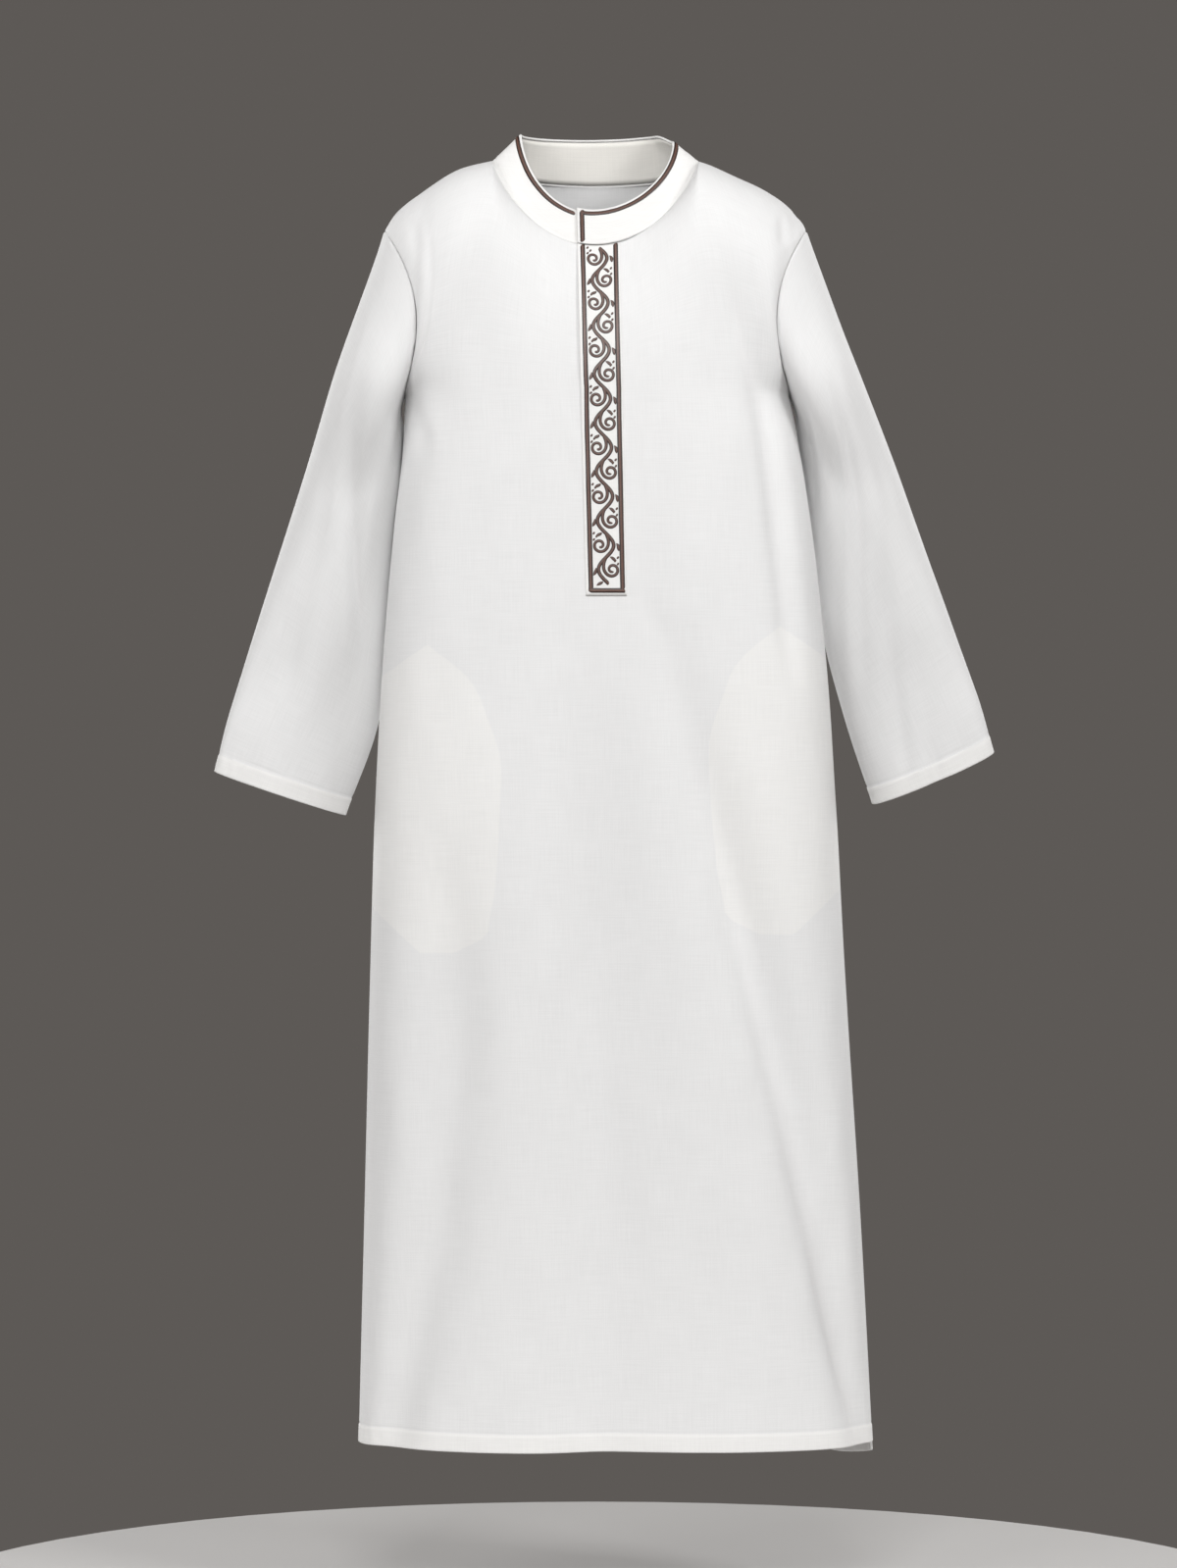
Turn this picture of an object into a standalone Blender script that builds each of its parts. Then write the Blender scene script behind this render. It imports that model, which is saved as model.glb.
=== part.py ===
"""Ankle-length thobe robe: band collar lapped at the front, stitched placket strip, straight open sleeves.

Metres, +Z up, the front faces -Y and the wearer's left is +X. The cloth stands open as if worn. The origin
lies midway between the two points where the collar meets the shoulders, at mid depth, so the robe hangs
below it. Every piece is a thin wall: an open loft of named sections, given its thickness by Solidify.
"""

import bmesh
import bpy
import numpy as np

# ---- Cloth and seams
CLOTH = 0.0012  # wall of the panels, sleeves, collar stand and placket
THIN_CLOTH = 0.0010  # wall of the collar facing and the pocket bags
SATIN = 0.0010  # raised height of the stitched edging
SEAM = 0.0003  # space between two pieces at a seam
SHOULDER_EASE = 0.0002  # more space at the shoulder seam, where the two walls lean together
LAY = 0.0005  # space between a panel and a piece that lies on it
BAG_SEAT, BAG_LAY = 0.0012, 0.0030  # space between the front and a pocket bag, at the side seam and inside it
SLEEVE_CLEAR = 0.0022  # space between a sleeve and the side it hangs against

# ---- Body
HEM_DROP = 1.395  # neck point down to the hem
ARMPIT_DROP = 0.255
# A row for each section, front face first: drop below the neck point, middle, half width, depths.
# The last two shape the section, depth * (1 - |x / half|^power)^fullness: 2 and 0.5 would make an ellipse.
SECTION_COLUMNS = ("drop", "middle", "half_width", "front_depth", "back_depth", "power", "fullness")
SECTIONS = (
    (0.255, 0.0020, 0.2100, 0.110, 0.098, 3.0, 0.58),
    (0.300, 0.0055, 0.2145, 0.111, 0.097, 3.0, 0.48),
    (0.400, 0.0080, 0.2275, 0.112, 0.096, 2.9, 0.40),
    (0.550, 0.0100, 0.2420, 0.113, 0.097, 2.7, 0.37),
    (0.700, 0.0110, 0.2510, 0.115, 0.102, 2.6, 0.38),
    (0.900, 0.0135, 0.2595, 0.118, 0.108, 2.5, 0.40),
    (1.150, 0.0185, 0.2705, 0.121, 0.115, 2.4, 0.41),
    (1.395, 0.0220, 0.2800, 0.124, 0.120, 2.4, 0.42),
)
CHEST_RISE = 0.45  # above the armpits the fullness reaches 1 at this share of the way up
ARMHOLE_POWERS = (14.0, 3.0)  # how close to the armhole its bulge stays, from the armpit up
SHOULDER_POWER = 2.5  # roll of the cloth over the shoulder line
TOP_EASE = 0.30  # how far to each side the rows below the top line average it

# ---- Shoulders and armholes
TIP_HALF = 0.230  # middle to the shoulder tip
ARMHOLE_INSET = 0.025  # how far the armhole cuts into the chest
ARMHOLE_FRONT = 0.070
ARMHOLE_BACK = 0.064
# The shoulder line: distance from the middle, drop below the neck point.
SHOULDER_COLUMNS = ("out", "drop")
SHOULDER = (
    (0.112, 0.000),
    (0.126, 0.004),
    (0.150, 0.013),
    (0.170, 0.023),
    (0.190, 0.035),
    (0.207, 0.047),
    (0.220, 0.060),
    (0.230, 0.076),
)

# ---- Neck and collar
NECK_HALF = 0.112
NECK_FRONT, NECK_BACK = 0.072, 0.066  # depth of the neck seam ahead of and behind the shoulders
NECK_DROP_FRONT, NECK_DROP_BACK = 0.098, 0.020
NECK_DIP_FRONT, NECK_DIP_BACK = 1.5, 0.7  # how late the seam dips, as a power
COLLAR_HALF = 0.082
COLLAR_FRONT, COLLAR_BACK = 0.050, 0.056
COLLAR_TOP = 0.031  # the top edge above the neck point, at the sides and back
COLLAR_DROP_FRONT = 0.092  # how far the top edge falls from there to the front
COLLAR_LIFT = 0.0009  # the stand starts this far up from the neck seam
LAP_END = -0.0198  # the upper end of the band, and the placket's free edge
UNDER_END = 0.0200  # the lower end, hidden under the lap
UNDER_EDGING = -0.0218  # the lower end's edging starts here, just clear of the lap
LAP_RISE = 0.0034  # how far the upper end stands over the lower one

# ---- Placket
PLACKET_TOP_LEFT, PLACKET_TOP_RIGHT = -0.0198, 0.0258
PLACKET_FOOT_LEFT, PLACKET_FOOT_RIGHT = -0.0104, 0.0334
PLACKET_DROP = 0.4775
SLIT_DROP = 0.4400
SLIT_HALF = 0.0004
UNDERLAP_HALF = 0.0190
EDGE_MARGIN = 0.0030  # cloth left outside the stitched edging
EDGING_WIDTH = 0.0055

# ---- Sleeves, each from the shoulder tip: swing out, hang to the cuff, fall of the cuff's inner corner
SLEEVE_COLUMNS = ("side", "swing_deg", "hang", "cuff_slant", "cuff_bow")
SLEEVES = (
    (-1, 17.6, 0.619, 0.002, 0.002),
    (1, 20.2, 0.606, 0.007, 0.005),
)
# Sections down the sleeve: distance from the tip, width and set back of each sleeve, half depth of both.
TUBE_COLUMNS = ("down", "width_right", "width_left", "half_depth", "back_right", "back_left")
TUBE = (
    (0.000, 0.062, 0.062, 0.050, 0.000, 0.000),
    (0.080, 0.066, 0.066, 0.066, 0.000, 0.000),
    (0.162, 0.075, 0.077, 0.070, 0.004, 0.004),
    (0.188, 0.081, 0.081, 0.069, 0.014, 0.014),
    (0.211, 0.089, 0.086, 0.067, 0.022, 0.023),
    (0.246, 0.098, 0.092, 0.063, 0.031, 0.033),
    (0.321, 0.112, 0.108, 0.054, 0.041, 0.045),
    (0.428, 0.137, 0.134, 0.038, 0.045, 0.058),
    (0.506, 0.153, 0.141, 0.025, 0.046, 0.068),
    (0.620, 0.150, 0.144, 0.015, 0.046, 0.080),
)

# ---- Pocket bags, hung inside the front from each side seam: drop, near edge, far edge from the seam
BAG_COLUMNS = ("drop", "near", "far")
BAG = (
    (0.529, 0.030, 0.048),
    (0.545, 0.004, 0.072),
    (0.563, 0.003, 0.094),
    (0.611, 0.003, 0.121),
    (0.648, 0.003, 0.135),
    (0.700, 0.003, 0.138),
    (0.760, 0.003, 0.137),
    (0.820, 0.005, 0.131),
    (0.846, 0.022, 0.122),
    (0.861, 0.052, 0.090),
)
BAGS = (("pocket_bag_right", -1, 0.000), ("pocket_bag_left", 1, 0.020))  # name, side, lift

# ---- Folds. A positive depth is a trough and a negative one a ridge. A body fold runs between two drops,
# past the across values high, mid and low. A sleeve's runs between two distances down, from angle to angle.
BODY_FOLD_COLUMNS = ("face", "top", "bottom", "high", "mid", "low", "depth", "width_top", "width_bottom")
BODY_FOLDS = (
    (-1, 0.470, 1.700, 0.020, 0.030, 0.040, 0.014, 0.022, 0.050),
    (-1, 0.370, 1.500, 0.090, 0.490, 0.900, 0.015, 0.018, 0.034),
    (-1, 0.680, 1.520, -0.450, -0.480, -0.800, 0.013, 0.026, 0.034),
    (-1, 0.560, 1.700, -0.250, -0.240, -0.250, -0.005, 0.030, 0.050),
    (-1, 0.015, 0.620, 0.700, 0.630, 0.640, 0.006, 0.012, 0.014),
    (-1, 0.020, 0.240, -0.800, -0.880, -0.900, 0.004, 0.011, 0.012),
    (1, 0.180, 1.700, -0.300, -0.230, -0.270, 0.014, 0.022, 0.042),
    (1, 0.260, 1.700, 0.260, 0.330, 0.420, 0.015, 0.020, 0.040),
    (1, 0.600, 1.600, -0.620, -0.640, -0.760, 0.012, 0.024, 0.034),
    (1, 0.560, 1.700, 0.020, 0.050, 0.080, -0.006, 0.030, 0.046),
    (1, 0.700, 1.600, 0.660, 0.700, 0.800, 0.012, 0.024, 0.032),
)
TUBE_FOLD_COLUMNS = ("side", "top", "bottom", "high", "low", "depth", "width")
TUBE_FOLDS = (
    (-1, 0.070, 0.480, 36.0, 142.0, 0.008, 0.013),
    (-1, 0.400, 0.700, 60.0, 70.0, 0.004, 0.016),
    (-1, 0.100, 0.520, 300.0, 235.0, 0.009, 0.014),
    (1, 0.060, 0.330, 120.0, 150.0, 0.006, 0.012),
    (1, 0.340, 0.640, 72.0, 118.0, 0.006, 0.013),
    (1, 0.120, 0.560, 305.0, 230.0, 0.009, 0.014),
)
BACK_HEM_DIP = 0.018  # the back hem hangs lower towards the wearer's left

# ---- Fineness of the lofts
HALF_COLUMNS, NECK_COLUMNS = 18, 8
SKIRT_ROWS, YOKE_ROWS = 13, 12
LAST_YOKE_ROW = 0.96  # one more row, so that the cloth lies flat where it meets the shoulder seam
YOKE_LEVELS = np.concatenate([np.arange(YOKE_ROWS) / YOKE_ROWS, [LAST_YOKE_ROW, 1.0]])
SKIRT_LEVELS = 1 - (1 - np.arange(SKIRT_ROWS + 1) / SKIRT_ROWS) ** 1.5  # closer towards the armpits
SLEEVE_LEVELS = (0, 0.01, 0.025, 0.05, 0.085, 0.13, 0.19, 0.26, 0.34, 0.43, 0.53, 0.64, 0.76, 0.88, 1)
NECK_SHARE = NECK_COLUMNS / HALF_COLUMNS

WHITE, CREAM, BROWN = (0.83, 0.83, 0.84), (0.80, 0.77, 0.70), (0.075, 0.038, 0.030)


def column(table, names, name):
    """One named column of a table."""
    return np.array([row[names.index(name)] for row in table], float)


def rows_for(table, names, name, value):
    """The rows of a table whose named column holds this value, each as a dictionary."""
    return [dict(zip(names, row)) for row in table if row[names.index(name)] == value]


def smooth(x, xs, ys):
    """A table read at x, along the cubic curve through its rows."""
    x = np.clip(x, xs[0], xs[-1])
    slopes = np.gradient(ys, xs)
    i = np.clip(np.searchsorted(xs, x, side="right") - 1, 0, len(xs) - 2)
    run = xs[i + 1] - xs[i]
    t = (x - xs[i]) / run
    start = (1 + 2 * t) * (1 - t) ** 2 * ys[i] + t * (1 - t) ** 2 * run * slopes[i]
    return start + t * t * (3 - 2 * t) * ys[i + 1] + t * t * (t - 1) * run * slopes[i + 1]


def ease(x):
    """0 below 0, 1 above 1, with a soft start and end."""
    x = np.clip(x, 0, 1)
    return x * x * (3 - 2 * x)


def section(name, drop):
    drops = column(SECTIONS, SECTION_COLUMNS, "drop")
    return smooth(drop, drops, column(SECTIONS, SECTION_COLUMNS, name))


def shoulder_drop(out):
    outs = column(SHOULDER, SHOULDER_COLUMNS, "out")
    return smooth(out, outs, column(SHOULDER, SHOULDER_COLUMNS, "drop"))


# ---- Body panels


def neck_seam(turn_deg, half=NECK_HALF):
    """The neck seam at a turn from the middle of the back: 90 is over the left shoulder, 180 the front."""
    turn = np.radians(turn_deg)
    back = np.maximum(np.cos(turn), 0)
    front = np.maximum(-np.cos(turn), 0)
    y = NECK_BACK * back - NECK_FRONT * front
    z = -NECK_DROP_BACK * back**NECK_DIP_BACK - NECK_DROP_FRONT * front**NECK_DIP_FRONT
    return np.stack([half * np.sin(turn), y, z], -1)


def top_line(across, face):
    """The top edge of a panel: the neck seam in the middle, then the shoulder line out to the tip."""
    share = np.abs(across)
    quarter = 90 * np.minimum(share / NECK_SHARE, 1)
    neck = neck_seam(180 - quarter if face < 0 else quarter)
    out = NECK_HALF + (TIP_HALF - NECK_HALF) * np.clip((share - NECK_SHARE) / (1 - NECK_SHARE), 0, 1)
    on_shoulder = share > NECK_SHARE - 1e-6
    x = np.where(on_shoulder, out, neck[..., 0]) * np.sign(across)
    y = np.where(on_shoulder, face * SHOULDER_EASE, neck[..., 1])
    z = np.where(on_shoulder, -shoulder_drop(out), neck[..., 2])
    return x, y, z


def eased_top_line(across, face):
    """The top line averaged a little to each side, without its corner where the shoulder meets the neck."""
    reach = TOP_EASE * (1 - np.abs(across)) * ease(np.abs(across) / TOP_EASE)
    return np.mean([top_line(across + reach * share, face) for share in np.linspace(-1, 1, 9)], axis=0)


def armhole_half(rise):
    """Half the width between the armholes, from the armpit (0) to the shoulder tip (1)."""
    bend = np.clip(4 * rise * (1 - rise), 0, None)
    return section("half_width", ARMPIT_DROP) * (1 - rise) + TIP_HALF * rise - ARMHOLE_INSET * bend**1.1


def body_fold(across, drop, face):
    """How far the cloth is drawn in: each fold is a soft trough that follows a curve down the panel."""
    total = np.zeros(np.broadcast(across, drop).shape)
    arc = 0.62 * (section("half_width", drop) + section("front_depth", drop))
    for fold in rows_for(BODY_FOLDS, BODY_FOLD_COLUMNS, "face", face):
        t = np.clip((drop - fold["top"]) / (fold["bottom"] - fold["top"]), 0, 1)
        ends = fold["high"] * (1 - t) * (1 - 2 * t) + fold["low"] * t * (2 * t - 1)
        path = ends + 4 * fold["mid"] * t * (1 - t)
        width = (fold["width_top"] + (fold["width_bottom"] - fold["width_top"]) * t) / arc
        depth = fold["depth"] * ease(t / 0.4) * ease((1 - t) / 0.2)
        total = total + depth * np.exp(-(((across - path) / width) ** 2))
    return total * ease((1 - np.abs(across)) / 0.12)


def panel(across, up, face):
    """Points of the front (face -1) or back (1). across runs -1..1 between the side seams; up runs 0..1 from
    the hem to the armpits and 1..2 from there to the shoulders and neck. Below the armpits a section is
    y = depth * (1 - |x/half|^power)^fullness; above, it opens at the armhole and rolls in to the top line."""
    across, up = np.broadcast_arrays(np.asarray(across, float), np.asarray(up, float))
    low_drop = HEM_DROP + (ARMPIT_DROP - HEM_DROP) * np.minimum(up, 1)
    rise = (1 - np.cos(np.pi * np.clip(up - 1, 0, 1))) / 2
    loop = np.sin(np.pi * np.clip(up - 1, 0, 1))
    eased = np.array(eased_top_line(across, face))
    top_x, top_y, top_z = eased + (np.array(top_line(across, face)) - eased) * rise**4

    half = np.where(up < 1, section("half_width", low_drop), armhole_half(rise))
    share = np.sin(np.pi / 2 * across) * (1 - rise) + top_x / TIP_HALF * rise
    x = section("middle", low_drop) * (1 - rise) + half * share

    fullness = section("fullness", low_drop)
    fullness = fullness + (1 - fullness) * np.minimum(rise / CHEST_RISE, 1)
    fall = (1 - np.abs(np.clip(share, -1, 1)) ** section("power", low_drop)) ** fullness
    over_shoulder = (1 - rise**SHOULDER_POWER) ** (1 / SHOULDER_POWER)
    into_neck = 1 - rise**2
    rolled = into_neck + (over_shoulder - into_neck) * ease(np.abs(across) / NECK_SHARE)
    depth = section("front_depth" if face < 0 else "back_depth", low_drop)
    armhole = ARMHOLE_FRONT if face < 0 else ARMHOLE_BACK
    low_power, high_power = ARMHOLE_POWERS
    near_armhole = np.abs(share) ** (low_power + (high_power - low_power) * ease(rise / 0.4))
    y = top_y * (1 - rolled) + face * (depth * fall * rolled + armhole * loop * near_armhole + SEAM / 2)

    z = -low_drop + (top_z + ARMPIT_DROP) * rise
    if face > 0:
        z = z - BACK_HEM_DIP * (1 - np.minimum(up, 1)) ** 3 * np.exp(-(((across - 0.75) / 0.35) ** 2))
    drawn = body_fold(across, -z, face)
    x = x - drawn * np.sin(np.pi / 2 * across)
    y = y - face * drawn * np.cos(np.pi / 2 * across)
    return np.stack([x, y, z], -1)


def up_at(drop):
    """The panels' up value at a drop below the armpits."""
    return (HEM_DROP - drop) / (HEM_DROP - ARMPIT_DROP)


def across_at(x, up, face):
    """The panels' across value where a row reaches x."""
    steps = np.linspace(-1, 1, 401)
    rows = [panel(steps, level, face)[:, 0] for level in up]
    return np.array([np.interp(at, row, steps) for at, row in zip(x, rows)])


def read_grid(grid, row, col):
    """A grid read between its rows and columns, so that the point lies on its facets."""
    r = np.clip(np.floor(row).astype(int), 0, grid.shape[0] - 2)
    c = np.clip(np.floor(col).astype(int), 0, grid.shape[1] - 2)
    fr, fc = (row - r)[..., None], (col - c)[..., None]
    low = grid[r, c] * (1 - fc) + grid[r, c + 1] * fc
    high = grid[r + 1, c] * (1 - fc) + grid[r + 1, c + 1] * fc
    return low * (1 - fr) + high * fr


def normals(grid):
    """Unit normals of a grid, from the differences along its rows and columns."""
    n = np.cross(np.gradient(grid, axis=1), np.gradient(grid, axis=0))
    return n / np.linalg.norm(n, axis=-1, keepdims=True)


def moved_out(grid, distance):
    """A panel's grid moved along its normals, away from the body's axis where distance is above 0."""
    out = normals(grid)
    out *= np.sign((out[..., :2] * grid[..., :2]).sum())
    return grid + distance * out


# ---- Meshes


def material(name, colour):
    made = bpy.data.materials.new(name)
    made.use_nodes = True
    shader = made.node_tree.nodes["Principled BSDF"]
    shader.inputs["Base Color"].default_value = (*colour, 1)
    shader.inputs["Roughness"].default_value = 0.75
    shader.inputs["Metallic"].default_value = 0.0
    return made


def wall(name, grid, thickness, finish, around=None, ring=False, keep=None, slit_rows=0):
    """A node: a grid of rows and columns as an open sheet, thickened inwards by Solidify.

    around gives the point that the outer face turns away from, for each row. ring closes the columns. keep
    marks the cells that are there. slit_rows counts the rows from the top that a slit parts at the middle.
    """
    rows, cols = grid.shape[:2]
    sheet = bmesh.new()
    verts = [[sheet.verts.new(p) for p in row] for row in grid]
    right = [list(row) for row in verts]
    middle = cols // 2
    for r in range(rows - slit_rows, rows):
        centre = verts[r][middle]
        right[r][middle] = sheet.verts.new(centre.co)
        right[r][middle].co.x += SLIT_HALF
        centre.co.x -= SLIT_HALF
    for r in range(rows - 1):
        for c in range(cols if ring else cols - 1):
            if keep is not None and not keep[r][c]:
                continue
            side = verts if c < middle else right
            d = (c + 1) % cols
            sheet.faces.new((side[r][c], side[r][d], side[r + 1][d], side[r + 1][c]))
    loose = [v for v in sheet.verts if not v.link_faces]
    bmesh.ops.delete(sheet, geom=loose, context="VERTS")
    sheet.normal_update()
    facing = 0.0
    for face in sheet.faces:
        centre = face.calc_center_median()
        inside = around(centre)
        facing += face.normal.dot(centre - inside) * face.calc_area()
    if facing < 0:
        bmesh.ops.reverse_faces(sheet, faces=sheet.faces)
    mesh = bpy.data.meshes.new(name)
    sheet.to_mesh(mesh)
    sheet.free()
    mesh.materials.append(finish)
    mesh.shade_smooth()
    made = bpy.data.objects.new(name, mesh)
    COLLECTION.objects.link(made)
    solid = made.modifiers.new("cloth", "SOLIDIFY")
    solid.thickness = thickness
    solid.offset = -1
    solid.use_even_offset = True
    return made


def from_axis(point):
    """The body's own axis at a point's height."""
    middle = float(section("middle", np.array(-point.z)))
    return type(point)((middle, 0, min(point.z, -0.02)))


def make_body(white):
    across = np.linspace(-1, 1, 2 * HALF_COLUMNS + 1)
    up = np.concatenate([SKIRT_LEVELS, 1 + YOKE_LEVELS[1:]])
    grids = {face: panel(across[None, :], up[:, None], face) for face in (-1, 1)}
    front_slit = int((up > up_at(SLIT_DROP)).sum())
    wall("front_panel", grids[-1], CLOTH, white, from_axis, slit_rows=front_slit)
    wall("back_panel", grids[1], CLOTH, white, from_axis)
    return grids[-1]


# ---- Sleeves


def armhole(angle_deg, side):
    """The armhole at an angle: 0 the shoulder tip, 90 the front, 180 the armpit, 270 the back."""
    angle = np.radians(angle_deg)
    rise = (1 + np.cos(angle)) / 2
    x = section("middle", ARMPIT_DROP) * (1 - rise) + side * armhole_half(rise)
    depth = np.where(np.sin(angle) > 0, ARMHOLE_FRONT, ARMHOLE_BACK)
    z = -ARMPIT_DROP + (ARMPIT_DROP - shoulder_drop(TIP_HALF)) * rise
    return np.stack([x, -depth * np.sin(angle), z], -1)


def sleeve_fold(angle_deg, down, side, width):
    total = np.zeros(np.broadcast(angle_deg, down).shape)
    for fold in rows_for(TUBE_FOLDS, TUBE_FOLD_COLUMNS, "side", side):
        t = np.clip((down - fold["top"]) / (fold["bottom"] - fold["top"]), 0, 1)
        away = np.radians(angle_deg - (fold["high"] + (fold["low"] - fold["high"]) * t)) * width / 2
        depth = fold["depth"] * ease(t / 0.3) * ease((1 - t) / 0.3)
        total = total + depth * np.exp(-((away / fold["width"]) ** 2))
    return total


def clear_of_side(points, along, side):
    """Points of a sleeve pushed out sideways where they would reach into the body's side below the armpit."""
    drop = np.maximum(-points[..., 2], ARMPIT_DROP)
    depth = np.where(points[..., 1] < 0, section("front_depth", drop), section("back_depth", drop))
    inside = np.clip(np.abs(points[..., 1]) / depth, 0, 1)
    share = (1 - inside ** (1 / section("fullness", drop))) ** (1 / section("power", drop))
    surface = section("half_width", drop) * share
    out = side * (points[..., 0] - section("middle", drop))
    clear = 2 * SEAM + (SLEEVE_CLEAR - 2 * SEAM) * ease(along / 0.02)
    short = np.maximum(surface + clear - out, 0)
    points[..., 0] += side * short * ease((-points[..., 2] - ARMPIT_DROP) / 0.01 + 1.5)
    return points


def sleeve(angle_deg, along, side):
    """Points of a sleeve: along runs 0..1 from the armhole seam to the cuff. Each section is an ellipse,
    deep at the arm and flat at the cuff, and the first part blends it from the armhole's loop."""
    cut = rows_for(SLEEVES, SLEEVE_COLUMNS, "side", side)[0]
    key = "right" if side < 0 else "left"
    swing = np.radians(cut["swing_deg"])
    down_axis = np.array([side * np.sin(swing), 0, -np.cos(swing)])
    in_axis = np.array([-side * np.cos(swing), 0, -np.sin(swing)])
    tip = armhole(np.array(0.0), side)
    angle = np.radians(angle_deg)
    inner = (1 - np.cos(angle)) / 2

    start = armhole(angle_deg, side) - tip
    start_down, start_in, start_y = start @ down_axis, start @ in_axis, start[..., 1]
    cuff = cut["hang"] + cut["cuff_slant"] * inner + cut["cuff_bow"] * np.clip(np.sin(angle), 0, 1)
    down = start_down + (cuff - start_down) * along
    downs = column(TUBE, TUBE_COLUMNS, "down")
    width = smooth(down, downs, column(TUBE, TUBE_COLUMNS, "width_" + key))
    half_depth = smooth(down, downs, column(TUBE, TUBE_COLUMNS, "half_depth"))
    back = smooth(down, downs, column(TUBE, TUBE_COLUMNS, "back_" + key))
    blend = ease(along / (0.45 - 0.37 * inner**3))
    fold = sleeve_fold(angle_deg, down, side, width) * blend
    across = start_in + (width * inner + fold * np.cos(angle) - start_in) * blend
    y = start_y + (back - (half_depth - fold) * np.sin(angle) - start_y) * blend
    points = tip + down[..., None] * down_axis + across[..., None] * in_axis
    points[..., 1] = y
    return clear_of_side(points, along, side)


def make_sleeves(white):
    half_turn = 180 * (1 - YOKE_LEVELS[::-1])
    angles = np.concatenate([half_turn, 360 - half_turn[-2:0:-1]])
    along = np.array(SLEEVE_LEVELS)
    for side, name in ((-1, "sleeve_right"), (1, "sleeve_left")):
        grid = sleeve(angles[None, :], along[:, None], side)
        first = grid[1] - grid[0]
        grid[0] += (SEAM + CLOTH / 2) * first / np.linalg.norm(first, axis=-1, keepdims=True)
        grid[0, :, 0] += side * SEAM
        centres = grid.mean(axis=1)

        def middle_of(point, centres=centres):
            nearest = int(np.argmin(np.abs(centres[:, 2] - point.z)))
            return type(point)(centres[nearest])

        wall(name, grid, CLOTH, white, middle_of, ring=True)


# ---- Collar


def collar_top(turn_deg):
    turn = np.radians(turn_deg)
    back = np.maximum(np.cos(turn), 0)
    front = np.maximum(-np.cos(turn), 0)
    soft = 0.12
    steep = (np.sqrt(front**2 + soft**2) - soft) / (np.sqrt(1 + soft**2) - soft)
    y = COLLAR_BACK * back - COLLAR_FRONT * front
    z = COLLAR_TOP - COLLAR_DROP_FRONT * steep
    return np.stack([COLLAR_HALF * np.sin(turn), y, z], -1)


def collar_turns(half):
    """Turns round the neck on a ring of this half width, from the hidden end to the lapped one."""
    step = 90 / NECK_COLUMNS
    whole = np.arange(-180 + 2 * step, 180, step)
    edges = (LAP_END, LAP_END + EDGE_MARGIN, LAP_END + EDGE_MARGIN + EDGING_WIDTH)
    under = -180 - np.degrees(np.arcsin(np.array([UNDER_END, UNDER_END / 2, 0, UNDER_EDGING]) / half))
    lapped = 180 - np.degrees(np.arcsin(np.array([0, edges[2], edges[1], edges[0]]) / half))
    return np.concatenate([under, whole, lapped])


def collar(heights, depth_in):
    """The band as a cone between the neck seam and its top edge, depth_in under its outer face."""
    base_turn, top_turn = collar_turns(NECK_HALF), collar_turns(COLLAR_HALF)
    base, top = neck_seam(base_turn), collar_top(top_turn)
    slope = (top - base) / np.linalg.norm(top - base, axis=-1, keepdims=True)
    base = base + COLLAR_LIFT * slope
    grid = base + (top - base) * np.asarray(heights)[:, None, None]
    out = normals(grid)
    out *= np.sign((out[..., :2] * grid[..., :2]).sum(-1))[..., None]
    lift = LAP_RISE * ease((base_turn - 130) / 40)
    return grid + out * (lift[None, :, None] - depth_in)


def make_collar(white, cream, brown):
    height = np.linalg.norm(collar_top(180.0) - neck_seam(180.0))
    margin, band = EDGE_MARGIN / height, EDGING_WIDTH / height
    heights = (0, 0.42, 1 - margin - band, 1 - margin, 1)

    def inside(point):
        return type(point)((0, 0, -0.03))

    wall("collar_stand", collar(heights, 0), CLOTH, white, inside)
    wall("collar_facing", collar(heights, CLOTH + SEAM), THIN_CLOTH, cream, inside)
    edging = collar(heights, -(SEAM + SATIN))
    keep = np.zeros((len(heights) - 1, edging.shape[1] - 1), bool)
    keep[2, 3:-1] = True
    keep[:3, -2] = True
    wall("collar_edging", edging, SATIN, brown, inside, keep=keep)


# ---- Placket


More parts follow.
